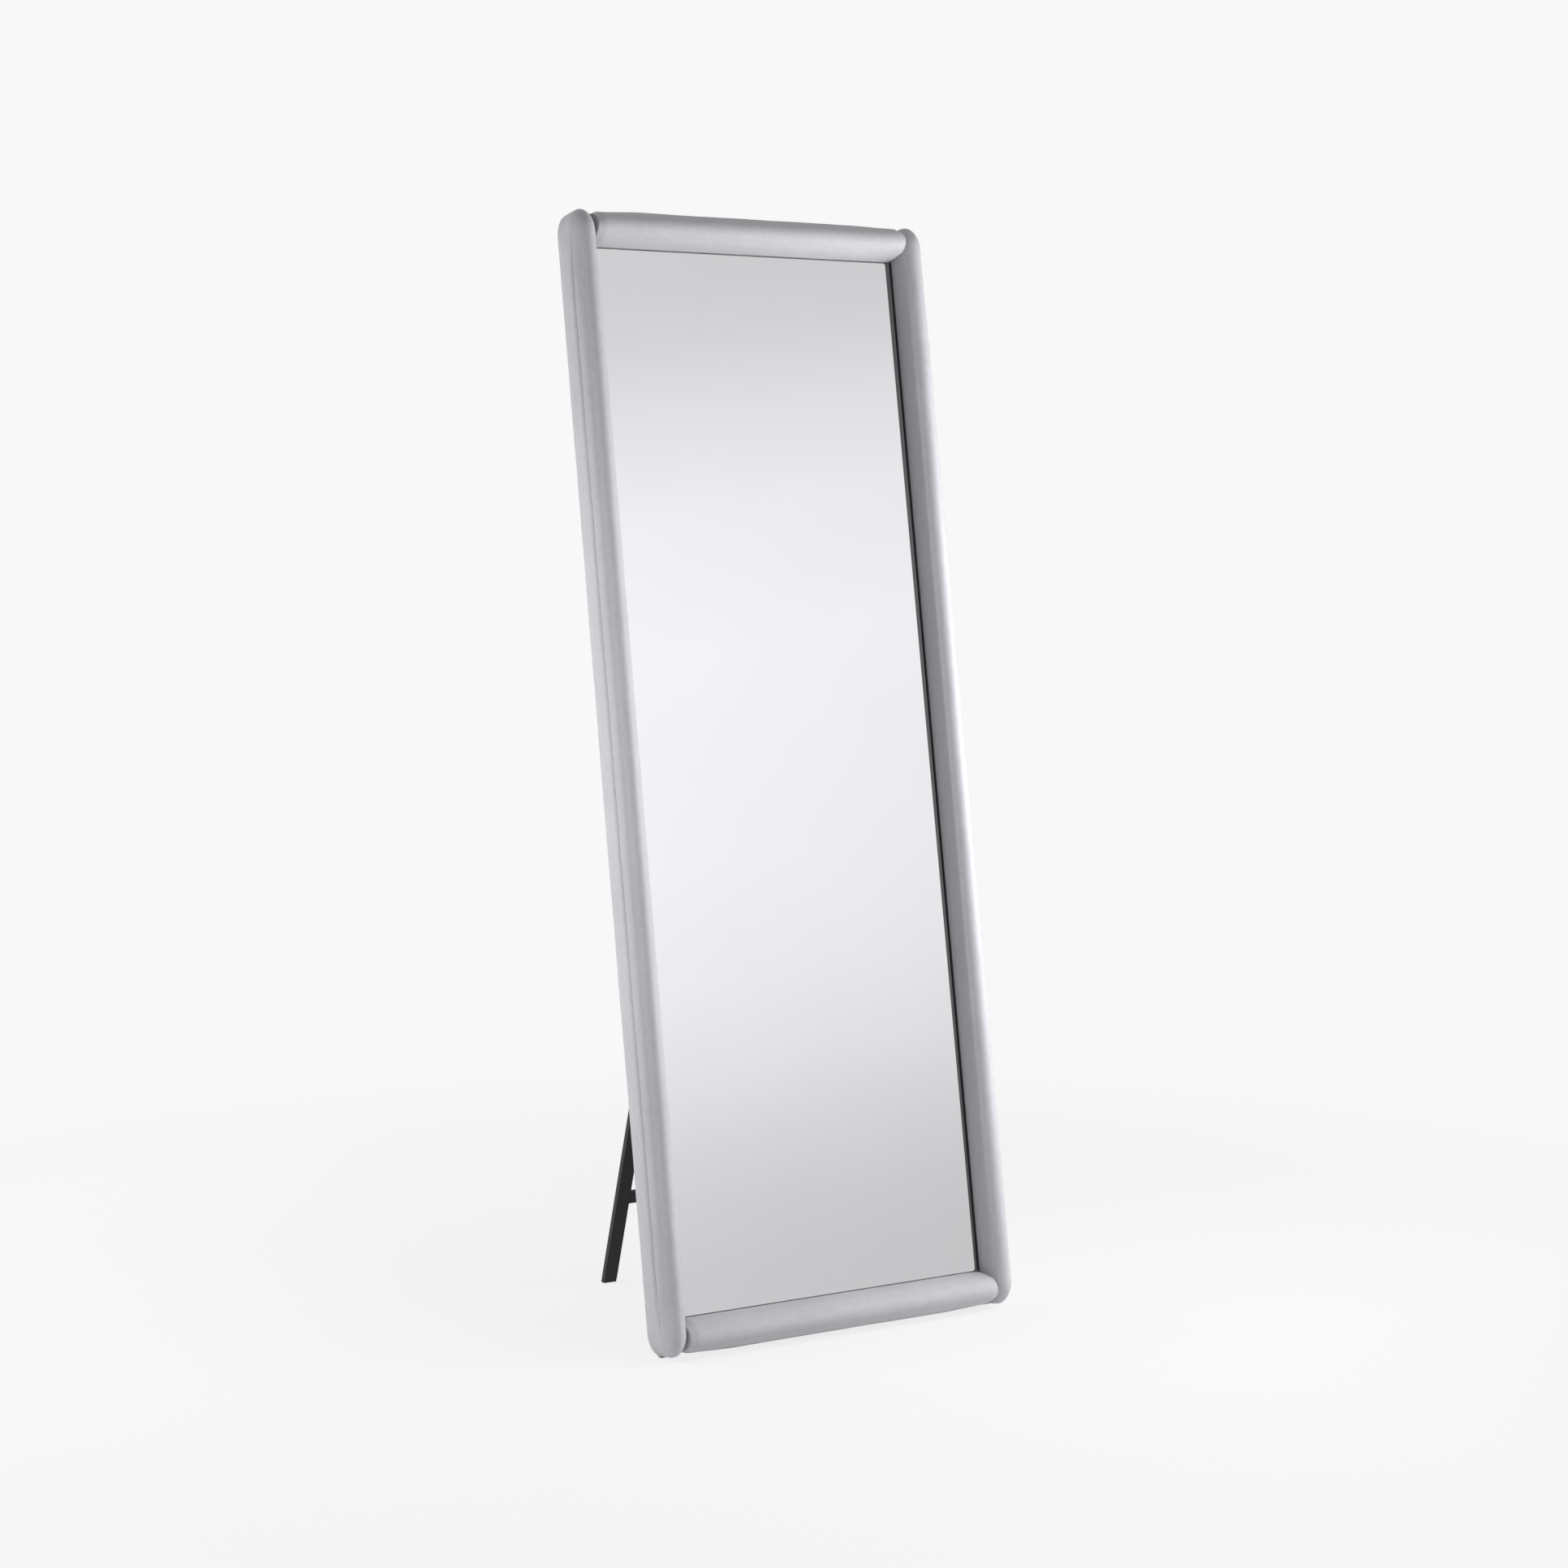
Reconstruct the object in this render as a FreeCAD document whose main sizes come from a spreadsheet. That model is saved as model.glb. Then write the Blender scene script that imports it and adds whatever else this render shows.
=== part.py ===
"""Leaning floor mirror: an upholstered frame round a sheet of mirror, propped on a folding rear stand.

Units are millimetres and degrees. World frame: +Z up, the mirror faces -Y and leans back towards +Y,
and the origin is on the floor in the middle of the ground that the mirror covers.

Most pieces are drawn in the frame's own upright directions, then tipped back with it:
X across the mirror, Y backwards from the back plane of the rolls, Z up the mirror from its lower end.
"""
import FreeCAD, Part
import math
import os

import Sketcher

Vector = FreeCAD.Vector
doc = FreeCAD.newDocument("LeaningFloorMirror")

DIMENSIONS = [
    # overall
    ("frame_height", 1800.0, "length of a stile along the lean"),
    ("frame_width", 654.0, "across both stiles"),
    ("frame_depth", 78.0, "back plane to the front of the rolls"),
    ("lean_angle", 9.5, "frame off vertical"),
    ("floor_lift", 1.2, "lower back edge of the stiles above the floor"),
    # upholstered rolls
    ("stile_width", 43.0, "face width of a stile"),
    ("stile_crown", 40.0, "depth of a stile's elliptical front, and length of its domed end"),
    ("rail_height", 54.0, "face height of a rail"),
    ("rail_crown", 43.0, "depth of a rail's elliptical front"),
    ("rail_end_round", 9.0, "rounding of a rail's front where it meets a stile"),
    ("back_round", 4.0, "rounding of the rolls' back edges"),
    ("rail_inset", 1.5, "rail set in from the ends of the stiles"),
    ("cover_thickness", 1.6, "fabric with its lining"),
    ("foam_clearance", 0.3, "between foam crown and cover"),
    ("core_depth", 28.0, "timber core, measured from the back plane"),
    # glass and its carrier
    ("glass_face_depth", 27.5, "glass face in front of the back plane"),
    ("glass_thickness", 5.0, "mirror glass"),
    ("glass_clearance", 0.5, "gap between glass or board and the rolls"),
    ("glass_corner_radius", 6.0, "rounded corner of the glass"),
    ("side_bead_width", 2.0, "black bead on the glass edge beside a stile, seen from the front"),
    ("rail_bead_width", 1.2, "black bead on the glass edge beside a rail, seen from the front"),
    ("bead_depth", 2.0, "black bead, front to back"),
    ("board_thickness", 12.0, "backing board"),
    ("cleat_width", 22.0, "timber cleat round the board"),
    ("batten_height", 90.0, "cross batten that carries the hinges"),
    # corner plates
    ("plate_leg", 74.0, "length of each leg of a corner plate"),
    ("plate_width", 26.0, "width of a corner plate's legs"),
    ("plate_thickness", 2.0, "sheet of a corner plate"),
    ("plate_round", 6.5, "rounded corners of a corner plate"),
    # floor pads
    ("pad_width", 10.0, "floor pad across the stile"),
    ("pad_length", 9.0, "floor pad, front to back"),
    ("pad_setback", 2.0, "floor pad in front of the back plane"),
    ("pad_reach", 3.0, "height of the pad's sides up the rounded stile end"),
    # stand
    ("stand_angle", 18.2, "legs off vertical when open"),
    ("stand_inset", 160.0, "centre line of a leg in from the frame's side"),
    ("hinge_height", 870.0, "pin above the lower end of the frame, along the lean"),
    ("hinge_offset", 14.0, "pin behind the back plane"),
    ("leg_width", 24.0, "leg tube across"),
    ("leg_depth", 12.0, "leg tube front to back"),
    ("tube_wall", 1.5, "wall of the stand's tube"),
    ("tube_corner", 1.5, "outer corner radius of the stand's tube"),
    ("crossbar_width", 20.0, "crossbar tube, measured along the leg"),
    ("crossbar_height", 164.0, "crossbar's centre line up the leg from the floor"),
    ("plug_height", 9.0, "rubber plug below the tube's end"),
    ("plug_spigot", 14.0, "part of the plug inside the tube"),
    ("plug_round", 2.0, "rounded vertical corners of the plug"),
    ("plug_clearance", 0.1, "plug's spigot inside the tube"),
    ("stop_clearance", 0.1, "leg's top corner off the hinge plate when open"),
    # hinge
    ("hinge_plate_thickness", 3.0, "plate of the hinge bracket"),
    ("hinge_plate_width", 54.0, "plate of the hinge bracket, across"),
    ("hinge_plate_height", 70.0, "plate of the hinge bracket, upright"),
    ("hinge_plate_round", 5.0, "rounded corners of the hinge plate"),
    ("ear_thickness", 3.0, "ear of the hinge bracket"),
    ("ear_radius", 9.0, "nose of the ear round the pin"),
    ("ear_clearance", 0.5, "between leg and ear"),
    ("pin_radius", 4.0, "hinge pin"),
    ("pin_clearance", 0.05, "radial, pin in ear and leg"),
    ("pin_head_radius", 6.5, "hinge pin's head"),
    ("pin_head_height", 2.5, "hinge pin's head"),
    # screws
    ("screw_radius", 1.9, "screw shank"),
    ("screw_length", 8.5, "screw shank below the plate"),
    ("screw_head_radius", 3.8, "screw head at the plate"),
    ("screw_head_top", 2.2, "screw head's flat top"),
    ("screw_head_height", 1.8, "screw head"),
    ("screw_clearance", 0.2, "radial, screw in a metal plate"),
    ("screw_inset_across", 5.5, "hinge screw in from the plate's side"),
    ("screw_inset_upright", 9.0, "hinge screw in from the plate's end"),
]

sheet = doc.addObject("Spreadsheet::Sheet", "Dims")
for row, (alias, number, note) in enumerate(DIMENSIONS, start=1):
    sheet.set(f"A{row}", alias)
    sheet.set(f"B{row}", str(number))
    sheet.set(f"C{row}", note)
    sheet.setAlias(f"B{row}", alias)
doc.recompute()

# Lengths under this count as nothing when edges are picked
FLAT = 1e-4

# Sizes that follow from the sheet, as expressions
STILE_HALF = "Dims.stile_width / 2"
RAIL_HALF = "Dims.rail_height / 2"
RAIL_LENGTH = "(Dims.frame_width - 2 * Dims.stile_width)"
STILE_X = "(Dims.frame_width - Dims.stile_width) / 2"
RAIL_LOW_Z = "(Dims.rail_inset + Dims.rail_height / 2)"
RAIL_HIGH_Z = f"(Dims.frame_height - {RAIL_LOW_Z})"
OPENING_LOW_Z = "(Dims.rail_inset + Dims.rail_height)"
OPENING_HEIGHT = f"(Dims.frame_height - 2 * {OPENING_LOW_Z})"
BOARD_FACE = "(Dims.glass_face_depth - Dims.glass_thickness)"
CLEAT_DEPTH = f"({BOARD_FACE} - Dims.board_thickness)"
PANEL_WIDTH = f"({RAIL_LENGTH} - 2 * Dims.glass_clearance)"
PANEL_HEIGHT = f"({OPENING_HEIGHT} - 2 * Dims.glass_clearance)"
OPEN_ANGLE = "(Dims.lean_angle + Dims.stand_angle)"
PIN_WORLD_Z = (
    "(Dims.floor_lift + Dims.hinge_height * cos(Dims.lean_angle)"
    " - Dims.hinge_offset * sin(Dims.lean_angle))"
)
LEG_REACH = f"({PIN_WORLD_Z} / cos(Dims.stand_angle))"
LEG_BOTTOM = f"({LEG_REACH} - Dims.plug_height)"
LEG_TOP = (
    "((Dims.hinge_offset - Dims.hinge_plate_thickness - Dims.stop_clearance"
    f" - Dims.leg_depth / 2 * cos({OPEN_ANGLE})) / sin({OPEN_ANGLE}))"
)
STAND_SPACING = "(Dims.frame_width - 2 * Dims.stand_inset)"
STAND_X = f"({STAND_SPACING} / 2)"
# Front of the lower rail and back of the feet, measured from the frame's lower back edge along the floor
RAIL_FRONT = (
    "((Dims.frame_depth - Dims.rail_crown) * cos(Dims.lean_angle)"
    f" - {RAIL_LOW_Z} * sin(Dims.lean_angle)"
    " + sqrt((Dims.rail_crown * cos(Dims.lean_angle)) ^ 2"
    " + (Dims.rail_height / 2 * sin(Dims.lean_angle)) ^ 2))"
)
FOOT_BACK = (
    "(Dims.hinge_height * sin(Dims.lean_angle) + Dims.hinge_offset * cos(Dims.lean_angle)"
    f" + {LEG_REACH} * sin(Dims.stand_angle) + Dims.leg_depth / 2 / cos(Dims.stand_angle))"
)
SCREW_X = "(Dims.hinge_plate_width / 2 - Dims.screw_inset_across)"
SCREW_Z = "(Dims.hinge_plate_height / 2 - Dims.screw_inset_upright)"

sub_parts = []


def value(expression):
    """Present value of an expression, for first positions in a sketch."""
    result = sheet.evalExpression(expression)
    return float(getattr(result, "Value", result))


def turned(axis, angle):
    """Rotation about one of the axes X, Y or Z, as an expression."""
    unit = {"X": "vector(1; 0; 0)", "Y": "vector(0; 1; 0)", "Z": "vector(0; 0; 1)"}[axis]
    return f"rotation({unit}; {angle})"


def placed(x="0", y="0", z="0", rotation=turned("Z", "0")):
    """Placement as an expression."""
    return f"placement(vector({x}; {y}; {z}); {rotation})"


LEAN = placed("0", f"({RAIL_FRONT} - {FOOT_BACK}) / 2", "Dims.floor_lift", turned("X", "-Dims.lean_angle"))


def on_frame(x="0", y="0", z="0", rotation=turned("Z", "0")):
    """Placement in the leaning frame."""
    return f"{LEAN} * {placed(x, y, z, rotation)}"


def on_hinge(x, rotation=turned("Z", "0")):
    """Placement at the hinge pin's axis, in the leaning frame."""
    return on_frame(x, "Dims.hinge_offset", "Dims.hinge_height", rotation)


def publish(piece, name, placement):
    """Name a finished sub-part and put it in its place."""
    piece.Label = name
    piece.setExpression("Placement", placement)
    sub_parts.append(piece)
    return piece


# ---------------------------------------------------------------- sketches and features

def new_body(name):
    return doc.addObject("PartDesign::Body", name)


def origin_feature(body, role):
    return next(item for item in body.Origin.OriginFeatures if item.Role == role)


def new_sketch(body, name, role, x="0", y="0", z="0"):
    """Sketch on one of the body's origin planes, shifted in the plane (x, y) and along its normal (z)."""
    sketch = body.newObject("Sketcher::SketchObject", name)
    sketch.AttachmentSupport = [(origin_feature(body, role), "")]
    sketch.MapMode = "FlatFace"
    for letter, shift in (("x", x), ("y", y), ("z", z)):
        if shift != "0":
            sketch.setExpression(f"AttachmentOffset.Base.{letter}", shift)
    return sketch


def constrain(sketch, kind, *where):
    return sketch.addConstraint(Sketcher.Constraint(kind, *where))


def dimension(sketch, name, expression, kind, *where):
    """Driving dimension bound to an expression."""
    index = sketch.addConstraint(Sketcher.Constraint(kind, *where, value(expression)))
    sketch.renameConstraint(index, name)
    sketch.setExpression(f"Constraints.{name}", expression)


def add_line(sketch, start, end):
    return sketch.addGeometry(Part.LineSegment(Vector(*start, 0), Vector(*end, 0)), False)


def add_rectangle(sketch, prefix, width, height):
    """Rectangle centred on the sketch's origin."""
    half_w = value(width) / 2
    half_h = value(height) / 2
    corners = [(-half_w, -half_h), (half_w, -half_h), (half_w, half_h), (-half_w, half_h)]
    sides = [add_line(sketch, corners[i], corners[(i + 1) % 4]) for i in range(4)]
    for i in range(4):
        constrain(sketch, "Coincident", sides[i], 2, sides[(i + 1) % 4], 1)
        constrain(sketch, "Horizontal" if i % 2 == 0 else "Vertical", sides[i])
    constrain(sketch, "Symmetric", sides[0], 1, sides[1], 2, -1, 1)
    dimension(sketch, f"{prefix}_width", width, "DistanceX", sides[0], 1, sides[0], 2)
    dimension(sketch, f"{prefix}_height", height, "DistanceY", sides[1], 1, sides[1], 2)


def add_circle(sketch, name, x, y, radius):
    """Circle at a signed place in the sketch; x and y are expressions with their sign in front."""
    centre = Vector(value(x), value(y), 0)
    circle = sketch.addGeometry(Part.Circle(centre, Vector(0, 0, 1), value(radius)), False)
    for kind, place in (("DistanceX", x), ("DistanceY", y)):
        if place == "0":
            constrain(sketch, "PointOnObject", circle, 3, -2 if kind == "DistanceX" else -1)
        elif place.startswith("-"):
            dimension(sketch, f"{name}_{kind}", place[1:], kind, circle, 3, -1, 1)
        else:
            dimension(sketch, f"{name}_{kind}", place, kind, -1, 1, circle, 3)
    dimension(sketch, f"{name}_radius", radius, "Radius", circle)


def add_half_ellipse(sketch, half_width, reach, direction):
    """Half ellipse centred on the sketch's origin, bulging along its +Y (1) or -Y (-1) axis.

    Returns the arc with the numbers of its end points at -X and at +X.
    """
    wide = value(half_width)
    tip = value(reach) * direction
    ellipse = Part.Ellipse(Vector(0, tip, 0), Vector(wide, 0, 0), Vector(0, 0, 0))
    arc = sketch.addGeometry(Part.ArcOfEllipse(ellipse, -math.pi / 2, math.pi / 2), False)
    sketch.exposeInternalGeometry(arc)
    long_axis = arc + 1
    at_minus, at_plus = (1, 2) if direction < 0 else (2, 1)
    constrain(sketch, "Coincident", arc, 3, -1, 1)
    constrain(sketch, "Vertical", long_axis)
    constrain(sketch, "PointOnObject", arc, at_minus, -1)
    constrain(sketch, "PointOnObject", arc, at_plus, -1)
    dimension(sketch, "full_reach", f"2 * ({reach})", "Distance", long_axis)
    dimension(sketch, "half_width", half_width, "DistanceX", -1, 1, arc, at_plus)
    return arc, at_minus, at_plus


def draw_half_ellipse(sketch, half_width, reach, direction):
    """Half ellipse closed by a straight line along the sketch's X axis."""
    arc, at_minus, at_plus = add_half_ellipse(sketch, half_width, reach, direction)
    wide = value(half_width)
    chord = add_line(sketch, (-wide, 0), (wide, 0))
    constrain(sketch, "Coincident", chord, 1, arc, at_minus)
    constrain(sketch, "Coincident", chord, 2, arc, at_plus)


def draw_roll_section(sketch, half_width, box_depth, crown):
    """Roll's section: a box behind the sketch's X axis and an elliptical crown in front of it."""
    arc, at_minus, at_plus = add_half_ellipse(sketch, half_width, crown, -1)
    wide = value(half_width)
    deep = value(box_depth)
    right = add_line(sketch, (wide, 0), (wide, deep))
    back = add_line(sketch, (wide, deep), (-wide, deep))
    left = add_line(sketch, (-wide, deep), (-wide, 0))
    constrain(sketch, "Coincident", right, 1, arc, at_plus)
    constrain(sketch, "Coincident", right, 2, back, 1)
    constrain(sketch, "Coincident", back, 2, left, 1)
    constrain(sketch, "Coincident", left, 2, arc, at_minus)
    constrain(sketch, "Vertical", right)
    constrain(sketch, "Vertical", left)
    constrain(sketch, "Horizontal", back)
    dimension(sketch, "box_depth", box_depth, "DistanceY", right)


def add_pad(body, name, sketch, length, symmetric=False, backwards=False):
    pad = body.newObject("PartDesign::Pad", name)
    pad.Profile = sketch
    pad.setExpression("Length", length)
    pad.SideType = "Symmetric" if symmetric else "One side"
    pad.Reversed = backwards
    return pad


def add_through_pocket(body, name, sketch):
    """Cut all the way through, both ways from the sketch."""
    pocket = body.newObject("PartDesign::Pocket", name)
    pocket.Profile = sketch
    pocket.SideType = "Symmetric"
    pocket.Type = "ThroughAll"
    return pocket


def add_revolution(body, name, sketch, angle=360.0, backwards=False):
    """Turn a profile about the sketch's X axis."""
    revolution = body.newObject("PartDesign::Revolution", name)
    revolution.Profile = sketch
    revolution.ReferenceAxis = (sketch, ["H_Axis"])
    revolution.Angle = angle
    revolution.Reversed = backwards
    return revolution


def add_mirror(body, name, features, role):
    mirror = body.newObject("PartDesign::Mirrored", name)
    mirror.Originals = features
    mirror.MirrorPlane = (origin_feature(body, role), [""])
    body.Tip = mirror
    return mirror


def add_fillet(body, name, base, radius, wanted):
    """Round the base's edges for which wanted(edge) holds."""
    doc.recompute()
    edges = [f"Edge{i}" for i, edge in enumerate(base.Shape.Edges, start=1) if wanted(edge)]
    fillet = body.newObject("PartDesign::Fillet", name)
    fillet.Base = (base, edges)
    fillet.setExpression("Radius", radius)
    return fillet


def add_back_rounding(body, name, base, inset):
    """Round the outline of a roll's back, which is the base's flat end at +Y."""
    back = -value(inset)

    def on_back_outline(edge):
        box = edge.BoundBox
        return abs(box.YMin - back) < FLAT and abs(box.YMax - back) < FLAT and box.ZLength > FLAT

    return add_fillet(body, name, base, f"Dims.back_round - {inset}", on_back_outline)


def runs_along(letter):
    """Test for straight edges parallel to an axis."""
    across = [other for other in "XYZ" if other != letter]

    def wanted(edge):
        box = edge.BoundBox
        return all(getattr(box, f"{other}Length") < FLAT for other in across)

    return wanted


# ---------------------------------------------------------------- upholstered rolls

def make_domed_roll(name, inset, clearance="0"):
    """Stile's form, standing on its middle: straight roll with a dome at each end.

    inset thins it all round; clearance lowers only the crown and the domes.
    """
    half_width = f"{STILE_HALF} - {inset}"
    crown = f"Dims.stile_crown - {inset} - {clearance}"
    equator = "(Dims.frame_depth - Dims.stile_crown)"
    box_depth = f"{equator} - {inset}"
    shoulder = "(Dims.frame_height / 2 - Dims.stile_crown)"
    body = new_body(name)

    section = new_sketch(body, f"{name}_section", "XY_Plane", y=f"-{equator}")
    draw_roll_section(section, half_width, box_depth, crown)
    straight = add_pad(body, f"{name}_straight", section, shoulder)

    plan = new_sketch(body, f"{name}_plan", "XZ_Plane", y=shoulder, z=inset)
    draw_half_ellipse(plan, half_width, crown, 1)
    end_block = add_pad(body, f"{name}_end_block", plan, box_depth)

    nose = new_sketch(body, f"{name}_nose", "XY_Plane", y=f"-{equator}", z=shoulder)
    draw_half_ellipse(nose, half_width, crown, -1)
    dome = add_revolution(body, f"{name}_dome", nose, angle=90.0, backwards=True)

    whole = add_mirror(body, f"{name}_whole", [straight, end_block, dome], "XY_Plane")
    add_back_rounding(body, f"{name}_back", whole, inset)
    return body


def make_square_ended_roll(name, inset, clearance="0"):
    """Rail's form, standing on its middle: its crown is rounded over at the two flat ends."""
    half_width = f"{RAIL_HALF} - {inset}"
    crown = f"Dims.rail_crown - {inset} - {clearance}"
    equator = "(Dims.frame_depth - Dims.rail_crown)"
    box_depth = f"{equator} - {inset}"
    body = new_body(name)

    section = new_sketch(body, f"{name}_section", "XY_Plane", y=f"-{equator}")
    draw_roll_section(section, half_width, box_depth, crown)
    straight = add_pad(body, f"{name}_straight", section, f"{RAIL_LENGTH} - 2 * {inset}", symmetric=True)

    def on_end_but_not_back(edge):
        box = edge.BoundBox
        return box.ZLength < FLAT and box.YLength > FLAT

    ends = add_fillet(body, f"{name}_ends", straight, f"Dims.rail_end_round - {inset}", on_end_but_not_back)
    add_back_rounding(body, f"{name}_back", ends, inset)
    return body


def make_core_block(name, half_width, half_length):
    """Block that takes in the timber part of a roll and leaves out the foam in front of it."""
    block = doc.addObject("Part::Box", name)
    block.setExpression("Length", f"2 * ({half_width})")
    block.setExpression("Width", "Dims.core_depth")
    block.setExpression("Height", f"2 * ({half_length})")
    block.setExpression("Placement", placed(f"-({half_width})", "-Dims.core_depth", f"-({half_length})"))
    return block


def combine(kind, name, base, tool):
    piece = doc.addObject(f"Part::{kind}", name)
    piece.Base = base
    piece.Tool = tool
    return piece


def make_rolls(kind, make_form, half_width, half_length, places):
    """Core, foam and cover of each roll of one kind; all of one kind share their forms."""
    outside = make_form(f"{kind}_outside", "0")
    inside = make_form(f"{kind}_inside", "Dims.cover_thickness")
    filling = make_form(f"{kind}_filling", "Dims.cover_thickness", "Dims.foam_clearance")
    block = make_core_block(f"{kind}_core_block", half_width, half_length)
    for side, placement in places:
        cover = combine("Cut", f"{kind}_cover_{side}", outside, inside)
        core = combine("Common", f"{kind}_core_{side}", inside, block)
        foam = combine("Cut", f"{kind}_foam_{side}", filling, block)
        publish(cover, f"{kind}_cover_{side}", placement)
        publish(core, f"{kind}_core_{side}", placement)
        publish(foam, f"{kind}_foam_{side}", placement)
    return outside


def make_upholstery():
    mid_height = "Dims.frame_height / 2"
    stile_places = [
        ("left", on_frame(f"-{STILE_X}", "0", mid_height)),
        ("right", on_frame(STILE_X, "0", mid_height)),
    ]
    laid_across = turned("Y", "90")
    rail_places = [
        ("top", on_frame("0", "0", RAIL_HIGH_Z, laid_across)),
        ("bottom", on_frame("0", "0", RAIL_LOW_Z, laid_across)),
    ]
    stile_form = make_rolls("stile", make_domed_roll, STILE_HALF, mid_height, stile_places)
    make_rolls("rail", make_square_ended_roll, RAIL_HALF, f"{RAIL_LENGTH} / 2", rail_places)
    return stile_form


# ---------------------------------------------------------------- glass and its carrier

def make_box(name, size, placement):
    """Straight piece given by its size across, front to back and upright."""
    box = doc.addObject("Part::Box", name)
    for side, length in zip(("Length", "Width", "Height"), size):
        box.setExpression(side, length)
    publish(box, name, placement)


def make_glass():
    body = new_body("mirror_glass")
    outline = new_sketch(body, "glass_outline", "XZ_Plane")
    add_rectangle(outline, "glass", PANEL_WIDTH, PANEL_HEIGHT)
    sheet_of_glass = add_pad(body, "glass_sheet", outline, "Dims.glass_thickness")
    add_fillet(body, "glass_corners", sheet_of_glass, "Dims.glass_corner_radius", runs_along("Y"))
    publish(body, "mirror_glass", on_frame("0", f"-{BOARD_FACE}", "Dims.frame_height / 2"))


def make_beads():
    """Four black strips that cover the gap round the glass."""
    face = "-(Dims.glass_face_depth + Dims.bead_depth)"
    half_opening = f"{RAIL_LENGTH} / 2"
    right_x = f"{half_opening} - Dims.side_bead_width"
    long_size = ("Dims.side_bead_width", "Dims.bead_depth", OPENING_HEIGHT)
    short_size = (f"2 * ({right_x})", "Dims.bead_depth", "Dims.rail_bead_width")
    top_z = f"{OPENING_LOW_Z} + {OPENING_HEIGHT} - Dims.rail_bead_width"
    make_box("glass_bead_left", long_size, on_frame(f"-{half_opening}", face, OPENING_LOW_Z))
    make_box("glass_bead_right", long_size, on_frame(right_x, face, OPENING_LOW_Z))
    make_box("glass_bead_bottom", short_size, on_frame(f"-({right_x})", face, OPENING_LOW_Z))
    make_box("glass_bead_top", short_size, on_frame(f"-({right_x})", face, top_z))


def make_carrier():
    """Backing board, the cleats that hold it between the rolls, and the cross batten for the hinges."""
    half_opening = f"{RAIL_LENGTH} / 2"
    board_size = (PANEL_WIDTH, "Dims.board_thickness", PANEL_HEIGHT)
    board_place = on_frame(f"-{PANEL_WIDTH} / 2", f"-{BOARD_FACE}", f"{OPENING_LOW_Z} + Dims.glass_clearance")
    make_box("backing_board", board_size, board_place)

    front = f"-{CLEAT_DEPTH}"
    upright_size = ("Dims.cleat_width", CLEAT_DEPTH, OPENING_HEIGHT)
    level_length = f"({RAIL_LENGTH} - 2 * Dims.cleat_width)"
    level_size = (level_length, CLEAT_DEPTH, "Dims.cleat_width")
    level_x = f"-{level_length} / 2"
    top_z = f"{OPENING_LOW_Z} + {OPENING_HEIGHT} - Dims.cleat_width"
    make_box("cleat_left", upright_size, on_frame(f"-{half_opening}", front, OPENING_LOW_Z))
    make_box("cleat_right", upright_size, on_frame(f"{half_opening} - Dims.cleat_width", front, OPENING_LOW_Z))
    make_box("cleat_bottom", level_size, on_frame(level_x, front, OPENING_LOW_Z))
    make_box("cleat_top", level_size, on_frame(level_x, front, top_z))

    batten = new_body("hinge_batten")
    outline = new_sketch(batten, "batten_outline", "XZ_Plane")
    add_rectangle(outline, "batten", level_length, "Dims.batten_height")
    add_pad(batten, "batten_block", outline, CLEAT_DEPTH)
    holes = new_sketch(batten, "batten_holes", "XZ_Plane")
    for name, x, z in hinge_screw_places():
        add_circle(holes, name, x, z, "Dims.screw_radius")
    add_through_pocket(batten, "batten_pilot_holes", holes)
    publish(batten, "hinge_batten", on_frame("0", "0", "Dims.hinge_height"))


# ---------------------------------------------------------------- plates, pads and screws at the back

def make_corner_plates():
    """Flat L plates that tie each stile to its rail, flat on the back of the rolls."""
    corners = [
        ("top_right", STILE_X, RAIL_HIGH_Z, 0),
        ("bottom_right", STILE_X, RAIL_LOW_Z, 90),
        ("bottom_left", f"-{STILE_X}", RAIL_LOW_Z, 180),
        ("top_left", f"-{STILE_X}", RAIL_HIGH_Z, 270),
    ]
    for corner, x, z, angle in corners:
        name = f"corner_plate_{corner}"
        body = new_body(name)
        outline = new_sketch(body, f"{name}_outline", "XZ_Plane")
        draw_corner_plate(outline)
        blank = add_pad(body, f"{name}_blank", outline, "Dims.plate_thickness", backwards=True)
        add_fillet(body, f"{name}_rounded", blank, "Dims.plate_round", runs_along("Y"))
        publish(body, name, on_frame(x, "0", z, turned("Y", str(angle))))


def draw_corner_plate(sketch):
    """L with its corner's centre on the origin, its legs towards -X and -Z."""
    half = "Dims.plate_width / 2"
    leg = "(Dims.plate_leg - Dims.plate_width / 2)"
    near = value(half)
    far = value(leg)
    points = [(near, near), (-far, near), (-far, -near), (-near, -near), (-near, -far), (near, -far)]
    count = len(points)
    sides = [add_line(sketch, points[i], points[(i + 1) % count]) for i in range(count)]
    for i in range(count):
        constrain(sketch, "Coincident", sides[i], 2, sides[(i + 1) % count], 1)
        constrain(sketch, "Horizontal" if i % 2 == 0 else "Vertical", sides[i])
    dimension(sketch, "right_edge", half, "DistanceX", -1, 1, sides[0], 1)
    dimension(sketch, "upper_edge", half, "DistanceY", -1, 1, sides[0], 1)
    dimension(sketch, "leg_width_level", "Dims.plate_width", "DistanceY", sides[1], 2, sides[1], 1)
    dimension(sketch, "leg_width_upright", "Dims.plate_width", "DistanceX", sides[4], 1, sides[4], 2)
    dimension(sketch, "level_leg", "Dims.plate_leg", "DistanceX", sides[0], 2, sides[0], 1)
    dimension(sketch, "upright_leg", "Dims.plate_leg", "DistanceY", sides[5], 1, sides[5], 2)


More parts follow.
